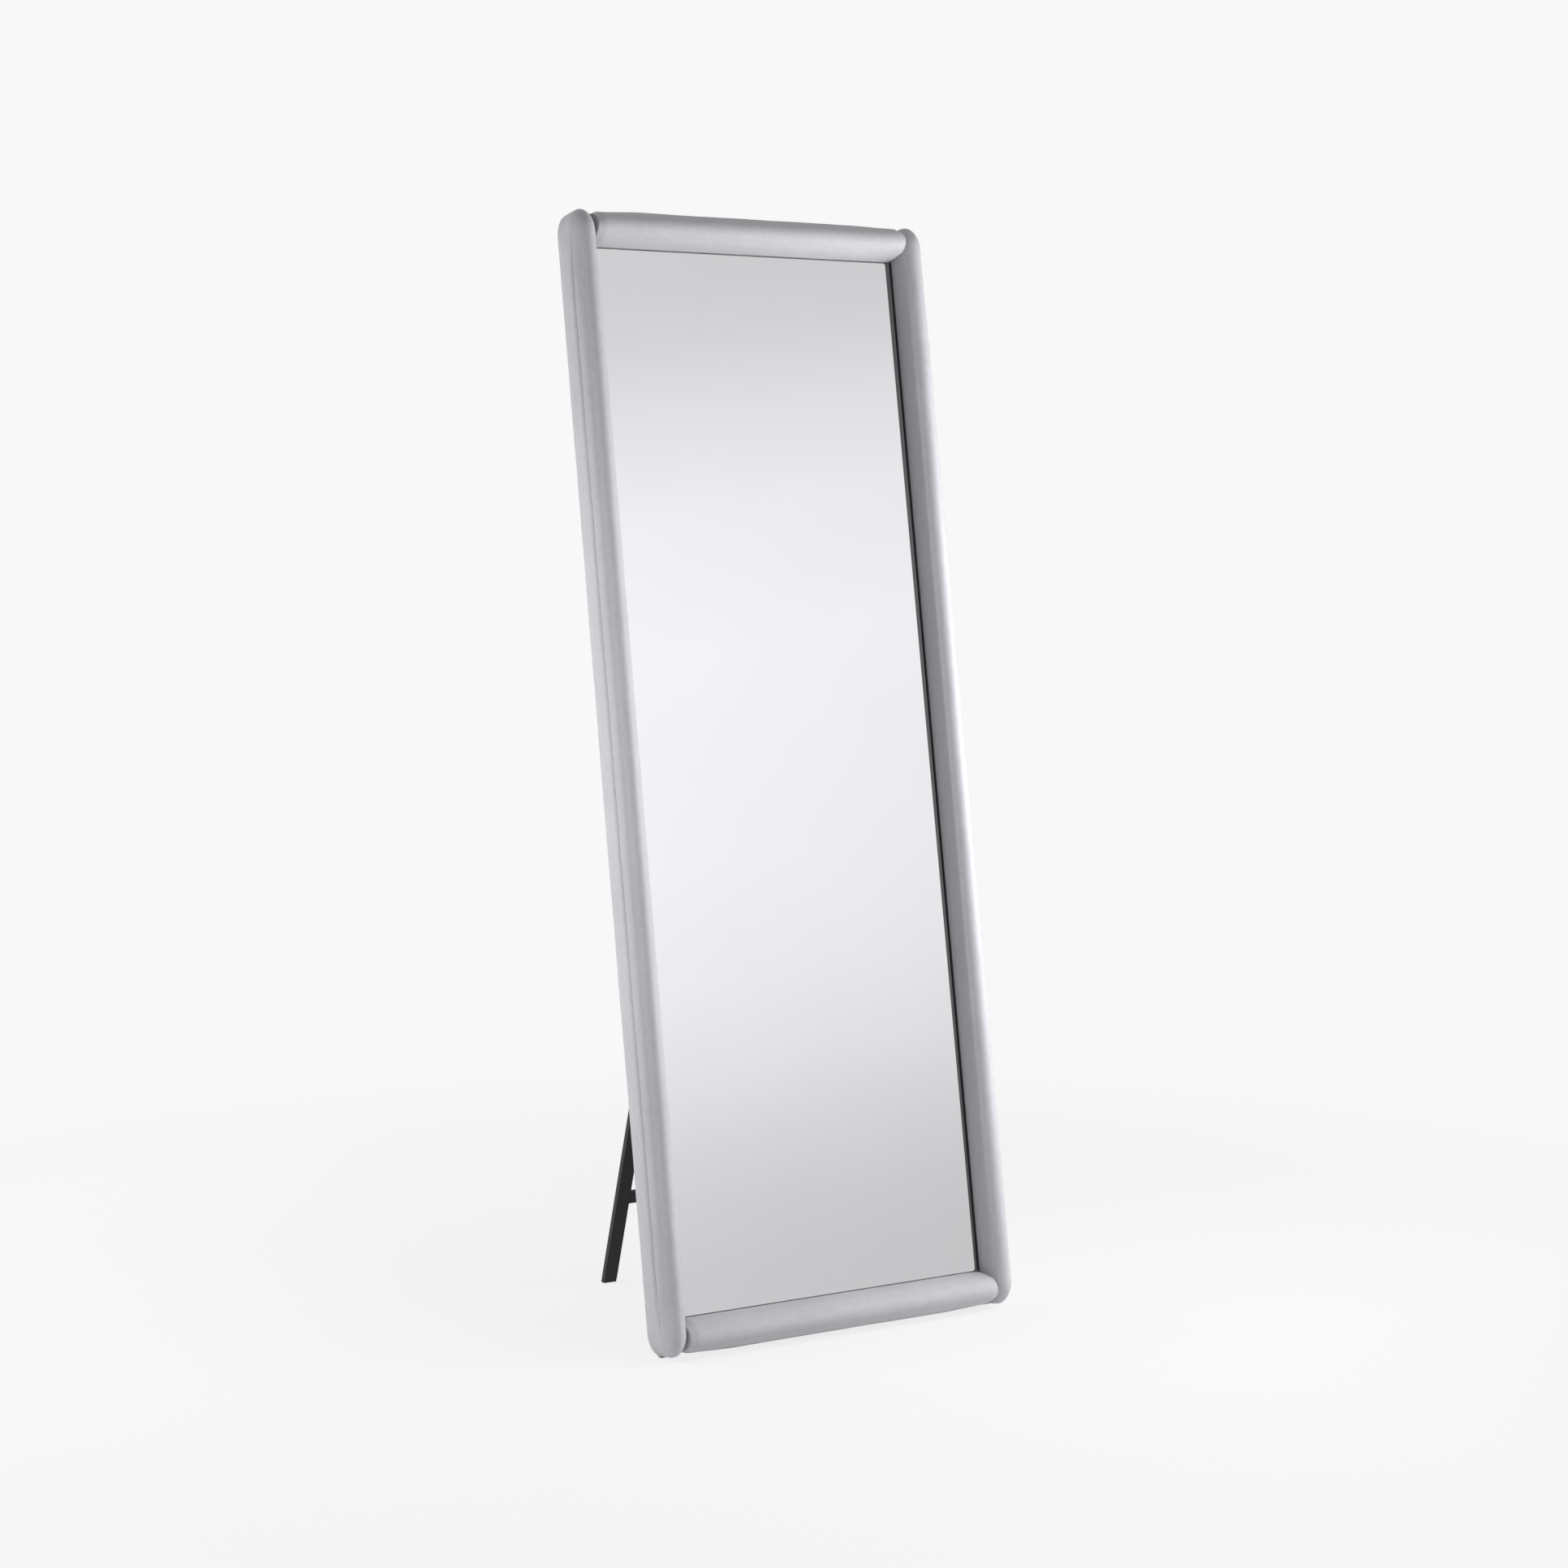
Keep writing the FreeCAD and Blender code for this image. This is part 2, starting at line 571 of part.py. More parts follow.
def make_floor_pads(stile_form):
    """Rubber pads under the stiles: the top follows the rounded stile end, the sole lies on the floor."""
    for side, sign in (("left", "-"), ("right", "")):
        name = f"floor_pad_{side}"
        body = new_body(f"{name}_block")
        profile = new_sketch(body, f"{name}_profile", "YZ_Plane")
        draw_pad_profile(profile)
        add_pad(body, f"{name}_blank", profile, "Dims.pad_width", symmetric=True)
        body.setExpression("Placement", placed(z="-Dims.frame_height / 2"))
        pad = combine("Cut", name, body, stile_form)
        publish(pad, name, on_frame(f"{sign}{STILE_X}", "0", "Dims.frame_height / 2"))


def draw_pad_profile(sketch):
    """Side view of a floor pad before the stile's end is taken out of it: Y across, Z up."""
    back = "Dims.pad_setback"
    front = "(Dims.pad_setback + Dims.pad_length)"

    def sole(depth):
        return f"((Dims.floor_lift + {depth} * sin(Dims.lean_angle)) / cos(Dims.lean_angle))"

    top = value("Dims.pad_reach")
    points = [
        (-value(front), top),
        (-value(front), -value(sole(front))),
        (-value(back), -value(sole(back))),
        (-value(back), top),
    ]
    sides = [add_line(sketch, points[i], points[(i + 1) % 4]) for i in range(4)]
    for i in range(4):
        constrain(sketch, "Coincident", sides[i], 2, sides[(i + 1) % 4], 1)
    constrain(sketch, "Vertical", sides[0])
    constrain(sketch, "Vertical", sides[2])
    constrain(sketch, "Horizontal", sides[3])
    dimension(sketch, "top_edge", "Dims.pad_reach", "DistanceY", -1, 1, sides[0], 1)
    dimension(sketch, "front_edge", front, "DistanceX", sides[0], 1, -1, 1)
    dimension(sketch, "back_edge", back, "DistanceX", sides[2], 1, -1, 1)
    dimension(sketch, "sole_front", sole(front), "DistanceY", sides[0], 2, -1, 1)
    dimension(sketch, "sole_back", sole(back), "DistanceY", sides[2], 1, -1, 1)


def hinge_screw_places():
    """Screws of both hinge plates: name, X and Z from the middle of the batten."""
    places = []
    for side, side_sign in (("left", "-"), ("right", "")):
        for inner, inner_sign in (("near", "-"), ("far", "+")):
            for level, level_sign in (("low", "-"), ("high", "")):
                across = f"{side_sign}({STAND_X} {inner_sign} {SCREW_X})"
                places.append((f"{side}_{inner}_{level}", across, f"{level_sign}{SCREW_Z}"))
    return places


def make_hinge_screws():
    """All hinge screws as one group: shank through the plate into the batten, head on the plate."""
    screws = []
    for name, x, z in hinge_screw_places():
        shank = doc.addObject("Part::Cylinder", f"shank_{name}")
        shank.setExpression("Radius", "Dims.screw_radius")
        shank.setExpression("Height", "Dims.hinge_plate_thickness + Dims.screw_length")
        head = doc.addObject("Part::Cone", f"head_{name}")
        head.setExpression("Radius1", "Dims.screw_head_radius")
        head.setExpression("Radius2", "Dims.screw_head_top")
        head.setExpression("Height", "Dims.screw_head_height")
        height = f"Dims.hinge_height + {z}"
        shank.setExpression("Placement", placed(x, "Dims.hinge_plate_thickness", height, turned("X", "90")))
        head.setExpression("Placement", placed(x, "Dims.hinge_plate_thickness", height, turned("X", "-90")))
        screws.append(combine("Fuse", f"screw_{name}", head, shank))
    group = doc.addObject("Part::Compound", "hinge_screws")
    group.Links = screws
    publish(group, "hinge_screws", on_frame())


# ---------------------------------------------------------------- hinges

def make_hinge_brackets():
    """Clevis brackets: a plate on the batten and two ears that hold the pin."""
    for side, sign in (("left", "-"), ("right", "")):
        name = f"hinge_bracket_{side}"
        body = new_body(name)
        outline = new_sketch(body, f"{name}_plate_outline", "XZ_Plane", z="Dims.hinge_offset")
        add_rectangle(outline, "plate", "Dims.hinge_plate_width", "Dims.hinge_plate_height")
        plate = add_pad(body, f"{name}_plate", outline, "Dims.hinge_plate_thickness", backwards=True)
        add_fillet(body, f"{name}_plate_corners", plate, "Dims.hinge_plate_round", runs_along("Y"))

        ear_inside = "(Dims.leg_width / 2 + Dims.ear_clearance)"
        profile = new_sketch(body, f"{name}_ear_profile", "YZ_Plane", z=ear_inside)
        draw_ear(profile)
        ear = add_pad(body, f"{name}_ear", profile, "Dims.ear_thickness")
        add_mirror(body, f"{name}_ears", [ear], "YZ_Plane")

        bore = new_sketch(body, f"{name}_bore", "YZ_Plane")
        add_circle(bore, "pin", "0", "0", "Dims.pin_radius + Dims.pin_clearance")
        add_through_pocket(body, f"{name}_pin_hole", bore)

        holes = new_sketch(body, f"{name}_screw_holes", "XZ_Plane")
        for level, level_sign in (("low", "-"), ("high", "")):
            for hand, hand_sign in (("left", "-"), ("right", "")):
                hole = f"{level}_{hand}"
                radius = "Dims.screw_radius + Dims.screw_clearance"
                add_circle(holes, hole, f"{hand_sign}{SCREW_X}", f"{level_sign}{SCREW_Z}", radius)
        add_through_pocket(body, f"{name}_screw_pocket", holes)
        publish(body, name, on_hinge(f"{sign}{STAND_X}"))


def draw_ear(sketch):
    """Ear from the plate to a round nose about the pin, which is on the sketch's origin."""
    radius = value("Dims.ear_radius")
    foot = -value("Dims.hinge_offset")
    circle = Part.Circle(Vector(0, 0, 0), Vector(0, 0, 1), radius)
    nose = sketch.addGeometry(Part.ArcOfCircle(circle, -math.pi / 2, math.pi / 2), False)
    upper = add_line(sketch, (0, radius), (foot, radius))
    root = add_line(sketch, (foot, radius), (foot, -radius))
    lower = add_line(sketch, (foot, -radius), (0, -radius))
    constrain(sketch, "Coincident", nose, 3, -1, 1)
    constrain(sketch, "Tangent", nose, 2, upper, 1)
    constrain(sketch, "Coincident", upper, 2, root, 1)
    constrain(sketch, "Coincident", root, 2, lower, 1)
    constrain(sketch, "Tangent", lower, 2, nose, 1)
    constrain(sketch, "Horizontal", upper)
    constrain(sketch, "Vertical", root)
    constrain(sketch, "Horizontal", lower)
    dimension(sketch, "nose_radius", "Dims.ear_radius", "Radius", nose)
    dimension(sketch, "ear_reach", "Dims.hinge_offset", "DistanceX", root, 1, -1, 1)


def make_hinge_pins():
    """Headed pins through the ears and the legs."""
    half_grip = "(Dims.leg_width / 2 + Dims.ear_clearance + Dims.ear_thickness)"
    for side, sign in (("left", "-"), ("right", "")):
        name = f"hinge_pin_{side}"
        body = new_body(name)
        profile = new_sketch(body, f"{name}_profile", "XY_Plane")
        draw_pin_profile(profile, half_grip)
        half_pin = add_revolution(body, f"{name}_half", profile)
        add_mirror(body, f"{name}_whole", [half_pin], "YZ_Plane")
        publish(body, name, on_hinge(f"{sign}{STAND_X}"))


def draw_pin_profile(sketch, half_grip):
    """Half of the pin's outline: shaft from the middle outwards, then the head."""
    grip = value(half_grip)
    end = grip + value("Dims.pin_head_height")
    shaft = value("Dims.pin_radius")
    head = value("Dims.pin_head_radius")
    points = [(0, 0), (end, 0), (end, head), (grip, head), (grip, shaft), (0, shaft)]
    count = len(points)
    sides = [add_line(sketch, points[i], points[(i + 1) % count]) for i in range(count)]
    for i in range(count):
        constrain(sketch, "Coincident", sides[i], 2, sides[(i + 1) % count], 1)
        constrain(sketch, "Horizontal" if i % 2 == 0 else "Vertical", sides[i])
    constrain(sketch, "Coincident", sides[0], 1, -1, 1)
    dimension(sketch, "half_grip", half_grip, "DistanceX", sides[4], 2, sides[4], 1)
    dimension(sketch, "head_height", "Dims.pin_head_height", "DistanceX", sides[2], 2, sides[2], 1)
    dimension(sketch, "head_radius", "Dims.pin_head_radius", "DistanceY", sides[1], 1, sides[1], 2)
    dimension(sketch, "pin_radius", "Dims.pin_radius", "DistanceY", sides[5], 2, sides[5], 1)


# ---------------------------------------------------------------- rear stand

def draw_tube_section(sketch, width, height):
    """Rectangular tube: outer outline and bore."""
    add_rectangle(sketch, "outer", width, height)
    add_rectangle(sketch, "bore", f"{width} - 2 * Dims.tube_wall", f"{height} - 2 * Dims.tube_wall")


def outer_long_edges(letter, half_width, half_height):
    """Test for a tube's four outer corner edges; the half sizes are across the tube."""
    straight = runs_along(letter)
    first, second = [other for other in "XYZ" if other != letter]

    def wanted(edge):
        centre = edge.BoundBox.Center
        on_first = abs(abs(getattr(centre, first.lower())) - half_width) < FLAT
        on_second = abs(abs(getattr(centre, second.lower())) - half_height) < FLAT
        return straight(edge) and on_first and on_second

    return wanted


def make_stand_legs():
    """Leg tubes, drawn hanging straight down from the pin's axis."""
    for side, sign in (("left", "-"), ("right", "")):
        name = f"stand_leg_{side}"
        body = new_body(name)
        section = new_sketch(body, f"{name}_section", "XY_Plane", z=f"-{LEG_BOTTOM}")
        draw_tube_section(section, "Dims.leg_width", "Dims.leg_depth")
        tube = add_pad(body, f"{name}_tube", section, f"{LEG_BOTTOM} + {LEG_TOP}")
        corners = outer_long_edges("Z", value("Dims.leg_width / 2"), value("Dims.leg_depth / 2"))
        add_fillet(body, f"{name}_corners", tube, "Dims.tube_corner", corners)
        bore = new_sketch(body, f"{name}_bore", "YZ_Plane")
        add_circle(bore, "pin", "0", "0", "Dims.pin_radius + Dims.pin_clearance")
        add_through_pocket(body, f"{name}_pin_hole", bore)
        publish(body, name, on_hinge(f"{sign}{STAND_X}", turned("X", OPEN_ANGLE)))


def make_crossbar():
    """Tube between the legs, its ends square against them."""
    body = new_body("stand_crossbar")
    section = new_sketch(body, "crossbar_section", "YZ_Plane")
    draw_tube_section(section, "Dims.leg_depth", "Dims.crossbar_width")
    tube = add_pad(body, "crossbar_tube", section, f"{STAND_SPACING} - Dims.leg_width", symmetric=True)
    corners = outer_long_edges("X", value("Dims.leg_depth / 2"), value("Dims.crossbar_width / 2"))
    add_fillet(body, "crossbar_corners", tube, "Dims.tube_corner", corners)
    down_the_leg = placed(z=f"Dims.crossbar_height - {LEG_REACH}")
    publish(body, "stand_crossbar", f"{on_hinge('0', turned('X', OPEN_ANGLE))} * {down_the_leg}")


def make_leg_plugs():
    """Rubber plugs in the feet: sole cut level with the floor, spigot up inside the tube."""
    for side, sign in (("left", "-"), ("right", "")):
        name = f"leg_plug_{side}"
        body = new_body(name)
        profile = new_sketch(body, f"{name}_profile", "YZ_Plane")
        draw_plug_profile(profile)
        block = add_pad(body, f"{name}_block", profile, "Dims.leg_width", symmetric=True)
        add_fillet(body, f"{name}_corners", block, "Dims.plug_round", runs_along("Z"))

        spigot = new_sketch(body, f"{name}_spigot_outline", "XY_Plane")
        shrink = "2 * (Dims.tube_wall + Dims.plug_clearance)"
        add_rectangle(spigot, "spigot", f"Dims.leg_width - {shrink}", f"Dims.leg_depth - {shrink}")
        add_pad(body, f"{name}_spigot", spigot, "Dims.plug_spigot")
        at_tube_end = placed(z=f"-{LEG_BOTTOM}")
        hung = on_hinge(f"{sign}{STAND_X}", turned("X", OPEN_ANGLE))
        publish(body, name, f"{hung} * {at_tube_end}")


def draw_plug_profile(sketch):
    """Side view of a plug below the tube's end, which is on the sketch's X axis."""
    half = "Dims.leg_depth / 2"
    slant = f"{half} * tan(Dims.stand_angle)"
    long_side = f"(Dims.plug_height + {slant})"
    short_side = f"(Dims.plug_height - {slant})"
    deep = value(half)
    points = [(-deep, 0), (-deep, -value(short_side)), (deep, -value(long_side)), (deep, 0)]
    sides = [add_line(sketch, points[i], points[(i + 1) % 4]) for i in range(4)]
    for i in range(4):
        constrain(sketch, "Coincident", sides[i], 2, sides[(i + 1) % 4], 1)
    constrain(sketch, "Vertical", sides[0])
    constrain(sketch, "Vertical", sides[2])
    constrain(sketch, "Horizontal", sides[3])
    constrain(sketch, "Symmetric", sides[0], 1, sides[2], 2, -1, 1)
    dimension(sketch, "plug_depth", "Dims.leg_depth", "DistanceX", sides[0], 1, sides[2], 2)
    dimension(sketch, "short_side", short_side, "DistanceY", sides[0], 2, sides[0], 1)
    dimension(sketch, "long_side", long_side, "DistanceY", sides[2], 1, sides[2], 2)


# ---------------------------------------------------------------- build, check and write

def check_model():
    """Stop with a message if any feature failed or any sub-part is not sound."""
    failed = [item.Name for item in doc.Objects if "Invalid" in item.State or "Error" in item.State]
    if failed:
        raise RuntimeError(f"features that failed: {failed}")
    for piece in sub_parts:
        if piece.Shape.isNull() or not piece.Shape.isValid() or piece.Shape.Volume <= 0:
            raise RuntimeError(f"unsound shape: {piece.Label}")


def write_parts():
    os.makedirs("parts", exist_ok=True)
    for piece in sub_parts:
        piece.Shape.exportStep(f"parts/{piece.Label}.step")
        print(f"{piece.Label}: {len(piece.Shape.Solids)} solid(s), {piece.Shape.Volume / 1000:.2f} cm3")


stile_outside = make_upholstery()
make_glass()
make_beads()
make_carrier()
make_corner_plates()
make_floor_pads(stile_outside)
make_hinge_brackets()
make_hinge_pins()
make_hinge_screws()
make_stand_legs()
make_crossbar()
make_leg_plugs()
doc.recompute()
check_model()
write_parts()
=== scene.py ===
import math

import bmesh
import bpy
import numpy as np
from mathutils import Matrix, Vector, noise
from mathutils.bvhtree import BVHTree


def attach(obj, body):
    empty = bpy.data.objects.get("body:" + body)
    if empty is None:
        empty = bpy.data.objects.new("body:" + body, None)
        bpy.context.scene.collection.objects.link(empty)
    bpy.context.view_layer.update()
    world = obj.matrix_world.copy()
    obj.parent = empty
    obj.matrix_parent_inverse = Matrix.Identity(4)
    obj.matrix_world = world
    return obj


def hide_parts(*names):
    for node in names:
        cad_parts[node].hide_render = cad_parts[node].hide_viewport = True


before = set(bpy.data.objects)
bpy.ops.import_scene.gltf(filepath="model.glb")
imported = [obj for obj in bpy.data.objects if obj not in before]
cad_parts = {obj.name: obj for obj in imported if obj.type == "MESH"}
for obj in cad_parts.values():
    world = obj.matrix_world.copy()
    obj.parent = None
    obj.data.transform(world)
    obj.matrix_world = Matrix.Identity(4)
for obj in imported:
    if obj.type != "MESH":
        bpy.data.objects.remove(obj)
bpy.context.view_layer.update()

MM = 0.001
LEAN = math.radians(9.5)              # mirror off vertical
STAND_LEAN = math.radians(-18.2)      # legs off vertical, the other way

# The mirror's own directions
RIGHT = Vector((1.0, 0.0, 0.0))
FRONT = Vector((0.0, -math.cos(LEAN), math.sin(LEAN)))
UP = Vector((0.0, math.sin(LEAN), math.cos(LEAN)))

scene = bpy.context.scene


# ---------------------------------------------------------------- helpers

def smoothstep(x, low, high):
    t = np.clip((x - low) / (high - low), 0.0, 1.0)
    return t * t * (3.0 - 2.0 * t)


def add_object(name, mesh):
    made = bpy.data.objects.new(name, mesh)
    scene.collection.objects.link(made)
    return made


def mesh_from(name, points, faces, smooth=True):
    mesh = bpy.data.meshes.new(name)
    mesh.from_pydata([tuple(p) for p in points], [], faces)
    mesh.validate()
    mesh.polygons.foreach_set("use_smooth", [smooth] * len(mesh.polygons))
    mesh.update()
    return mesh


def applied(made):
    """The object's mesh as its modifiers leave it."""
    graph = bpy.context.evaluated_depsgraph_get()
    return bpy.data.meshes.new_from_object(made.evaluated_get(graph))


def points_of(mesh):
    co = np.zeros(len(mesh.vertices) * 3)
    mesh.vertices.foreach_get("co", co)
    return co.reshape(-1, 3)


def normals_of(mesh):
    found = np.zeros(len(mesh.vertices) * 3)
    mesh.vertex_normals.foreach_get("vector", found)
    return found.reshape(-1, 3)


def set_points(mesh, points):
    mesh.vertices.foreach_set("co", np.asarray(points, dtype=np.float32).ravel())
    mesh.update()


def tree_of(mesh):
    return BVHTree.FromPolygons([v.co for v in mesh.vertices], [tuple(p.vertices) for p in mesh.polygons])


def box_along(node):
    """Lowest and highest reach of a node along the mirror's own directions."""
    reach = points_of(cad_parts[node].data) @ np.array([RIGHT, FRONT, UP]).T
    return reach.min(0), reach.max(0)


# ---------------------------------------------------------------- materials

class Finish:
    """A node material, built up round its Principled shader."""

    def __init__(self, name, tilt=0.0, **constants):
        self.material = bpy.data.materials.new(name)
        self.material.use_nodes = True
        self.tree = self.material.node_tree
        self.shader = self.tree.nodes["Principled BSDF"]
        for socket, number in constants.items():
            self.shader.inputs[socket.replace("_", " ")].default_value = number
        coordinates = self.tree.nodes.new("ShaderNodeTexCoord")
        tipped = self.add("Mapping", {"Vector": coordinates.outputs["Object"], "Rotation": (tilt, 0.0, 0.0)})
        self.place = tipped.outputs["Vector"]

    def add(self, kind, inputs, **settings):
        node = self.tree.nodes.new(f"ShaderNode{kind}")
        for setting, wanted in settings.items():
            setattr(node, setting, wanted)
        for socket, source in inputs.items():
            self.feed(node.inputs[socket], source)
        return node

    def feed(self, socket, source):
        if isinstance(source, bpy.types.NodeSocket):
            self.tree.links.new(source, socket)
        else:
            socket.default_value = source

    def stretched(self, x, y, z):
        return self.add("Mapping", {"Vector": self.place, "Scale": (x, y, z)}).outputs["Vector"]

    def noise(self, scale, detail=3.0, roughness=0.5, place=None, distortion=0.0):
        made = self.add("TexNoise", {
            "Vector": place or self.place, "Scale": scale, "Detail": detail,
            "Roughness": roughness, "Distortion": distortion,
        })
        return made.outputs["Fac"]

    def ramp(self, fac, stops):
        made = self.add("ValToRGB", {"Fac": fac})
        elements = made.color_ramp.elements
        while len(elements) < len(stops):
            elements.new(0.5)
        for element, (position, colour) in zip(elements, stops):
            element.position = position
            element.color = (*colour, 1.0) if len(colour) == 3 else colour
        return made.outputs["Color"]

    def spread(self, fac, low, high, to_low, to_high):
        made = self.add("MapRange", {
            "Value": fac, "From Min": low, "From Max": high, "To Min": to_low, "To Max": to_high,
        })
        return made.outputs["Result"]

    def mix(self, fac, a, b, blend="MIX"):
        made = self.add("Mix", {}, data_type="RGBA", blend_type=blend)
        self.feed(made.inputs["Factor"], fac)
        for socket, source in zip([s for s in made.inputs if s.type == "RGBA"], (a, b)):
            self.feed(socket, (*source, 1.0) if isinstance(source, tuple) and len(source) == 3 else source)
        return next(s for s in made.outputs if s.type == "RGBA")

    def maths(self, operation, *sources):
        made = self.add("Math", {}, operation=operation)
        for socket, source in zip(made.inputs, sources):
            self.feed(socket, source)
        return made.outputs["Value"]

    def bump(self, *layers):
        """Each layer is (height, strength, distance in metres)."""
        normal = None
        for height, strength, distance in layers:
            inputs = {"Height": height, "Strength": strength, "Distance": distance}
            if normal:
                inputs["Normal"] = normal
            normal = self.add("Bump", inputs).outputs["Normal"]
        self.feed(self.shader.inputs["Normal"], normal)

    def colour(self, source):
        self.feed(self.shader.inputs["Base Color"], source)

    def roughness(self, source):
        self.feed(self.shader.inputs["Roughness"], source)


def make_fabric():
    made = Finish("upholstery", LEAN, Sheen_Weight=0.12, Sheen_Roughness=0.5, Specular_IOR_Level=0.6)
    cloth = made.add("UVMap", {}, uv_map="cloth").outputs["UV"]
    drift = made.noise(7.0, 3.0)
    mottle = made.noise(95.0, 5.0, 0.6)
    pile = made.noise(700.0, 4.0, 0.7)
    brushed = made.noise(
        60.0, 4.0, 0.6, made.add("Mapping", {"Vector": cloth, "Scale": (6.0, 1.0, 1.0)}).outputs["Vector"]
    )
    warp = made.add("TexWave", {"Vector": cloth, "Scale": 300.0, "Distortion": 0.6, "Detail": 1.0},
                    bands_direction="X").outputs["Fac"]
    weft = made.add("TexWave", {"Vector": cloth, "Scale": 300.0, "Distortion": 0.6, "Detail": 1.0},
                    bands_direction="Y").outputs["Fac"]
    weave = made.maths("MULTIPLY", warp, weft)
    tone = made.maths("MULTIPLY_ADD", mottle, 0.45, made.maths("MULTIPLY", brushed, 0.3))
    tone = made.maths("ADD", tone, made.maths("MULTIPLY", pile, 0.25))
    base = made.ramp(tone, [
        (0.30, (0.443, 0.433, 0.464)), (0.50, (0.493, 0.483, 0.514)), (0.70, (0.539, 0.528, 0.558)),
    ])
    shaded = made.ramp(drift, [(0.30, (0.93, 0.93, 0.935)), (0.70, (1.0, 1.0, 1.0))])
    base = made.mix(1.0, base, shaded, "MULTIPLY")
    threads = made.ramp(weave, [(0.0, (0.95, 0.95, 0.95)), (0.6, (1.0, 1.0, 1.0))])
    made.colour(made.mix(1.0, base, threads, "MULTIPLY"))
    made.roughness(made.spread(mottle, 0.3, 0.7, 0.48, 0.58))
    made.bump((mottle, 0.15, 0.5 * MM), (pile, 0.25, 0.3 * MM), (weave, 0.2, 0.2 * MM))
    return made.material


def make_thread():
    made = Finish("thread", LEAN, Sheen_Weight=0.2, Sheen_Roughness=0.4)
    twist = made.noise(1800.0, 2.0)
    made.colour(made.ramp(twist, [(0.35, (0.40, 0.40, 0.415)), (0.65, (0.52, 0.52, 0.535))]))
    made.roughness(made.spread(twist, 0.3, 0.7, 0.5, 0.7))
    made.bump((twist, 0.4, 0.15 * MM))
    return made.material


PAINTED_REFLECTION_FOOT = 7.5 * MM              # painted reflection of the stiles' shaded inner sides: width of the dark band beside the stiles, at the foot and at the head
PAINTED_REFLECTION_HEAD = 11.0 * MM
PAINTED_REFLECTION_CORNER = 6.0 * MM


def make_mirror():
    made = Finish("silvered_glass", LEAN, Metallic=1.0)
    low, high = box_along("mirror_glass")
    half_width = (high[0] - low[0]) / 2
    half_height = (high[2] - low[2]) / 2
    parts = made.add("SeparateXYZ", {"Vector": made.place})
    # painted reflection: a dark band beside each stile, wider towards the head, with rounded corners
    reflection_width = made.spread(parts.outputs["Z"], low[2], high[2], PAINTED_REFLECTION_FOOT, PAINTED_REFLECTION_HEAD)
    from_side = made.maths("ADD", made.maths("ABSOLUTE", parts.outputs["X"]), reflection_width)
    past_side = made.maths("SUBTRACT", from_side, half_width - PAINTED_REFLECTION_CORNER)
    from_middle = made.maths("ABSOLUTE", made.maths("SUBTRACT", parts.outputs["Z"], (low[2] + high[2]) / 2))
    past_end = made.maths("SUBTRACT", from_middle, half_height - PAINTED_REFLECTION_CORNER)
    corner = made.add("CombineXYZ", {
        "X": made.maths("MAXIMUM", past_side, 0.0), "Y": made.maths("MAXIMUM", past_end, 0.0),
    })
    outside = made.add("VectorMath", {}, operation="LENGTH")
    made.feed(outside.inputs[0], corner.outputs["Vector"])
    painted_reflection = made.spread(outside.outputs["Value"], PAINTED_REFLECTION_CORNER - 0.3 * MM, PAINTED_REFLECTION_CORNER + 0.3 * MM, 0.0, 1.0)
    haze = made.noise(5.0, 4.0, 0.55)
    wiped = made.noise(9.0, 5.0, 0.6, made.stretched(3.0, 1.0, 0.6), 0.8)
    silver = made.ramp(haze, [(0.3, (0.930, 0.932, 0.945)), (0.7, (0.945, 0.947, 0.958))])
    # the dark band is a painted reflection of the stiles' shaded inner sides; the rolls themselves are hidden
    # from the glass
    made.colour(made.mix(painted_reflection, silver, (0.125, 0.125, 0.130)))
    made.roughness(made.spread(wiped, 0.45, 0.75, 0.012, 0.022))
    return made.material


def make_rubber(name, shade, tilt=LEAN):
    made = Finish(name, tilt, Specular_IOR_Level=0.35)
    grain = made.noise(500.0, 4.0, 0.6)
    dust = made.noise(45.0, 4.0, 0.6)
    made.colour(made.ramp(dust, [(0.4, (shade,) * 3), (0.75, (min(shade * 1.8, shade + 0.08),) * 3)]))
    made.roughness(made.spread(grain, 0.3, 0.7, 0.55, 0.75))
    made.bump((grain, 0.25, 0.15 * MM))
    return made.material


def make_foam():
    made = Finish("open_foam", LEAN, Specular_IOR_Level=0.2)
    cells = made.add("TexVoronoi", {"Vector": made.place, "Scale": 900.0}).outputs["Distance"]
    drift = made.noise(30.0, 3.0)
    made.colour(made.ramp(drift, [(0.3, (0.76, 0.71, 0.56)), (0.7, (0.84, 0.80, 0.66))]))
    made.roughness(made.spread(cells, 0.0, 0.7, 0.95, 0.8))
    made.bump((cells, 0.6, 0.5 * MM))
    return made.material


def make_wood(name, dark, pale, grain_along, rough_low, rough_high):
    """grain_along is the stretch of the grain along x, y and z: small along the grain."""
    made = Finish(name, LEAN, Specular_IOR_Level=0.35)
    rings = made.noise(34.0, 6.0, 0.6, made.stretched(*grain_along), 1.6)
    fibre = made.noise(420.0, 3.0, 0.6, made.stretched(*grain_along))
    knots = made.noise(6.0, 2.0, 0.5)
    tone = made.maths("MULTIPLY_ADD", rings, 0.65, made.maths("MULTIPLY", fibre, 0.35))
    base = made.ramp(tone, [(0.34, dark), (0.66, pale)])
    made.colour(made.mix(1.0, base, made.ramp(knots, [(0.25, (0.88, 0.88, 0.88)), (0.6, (1.0, 1.0, 1.0))]),
                         "MULTIPLY"))
    made.roughness(made.spread(fibre, 0.3, 0.7, rough_low, rough_high))
    made.bump((rings, 0.25, 0.3 * MM), (fibre, 0.35, 0.15 * MM))
    return made.material


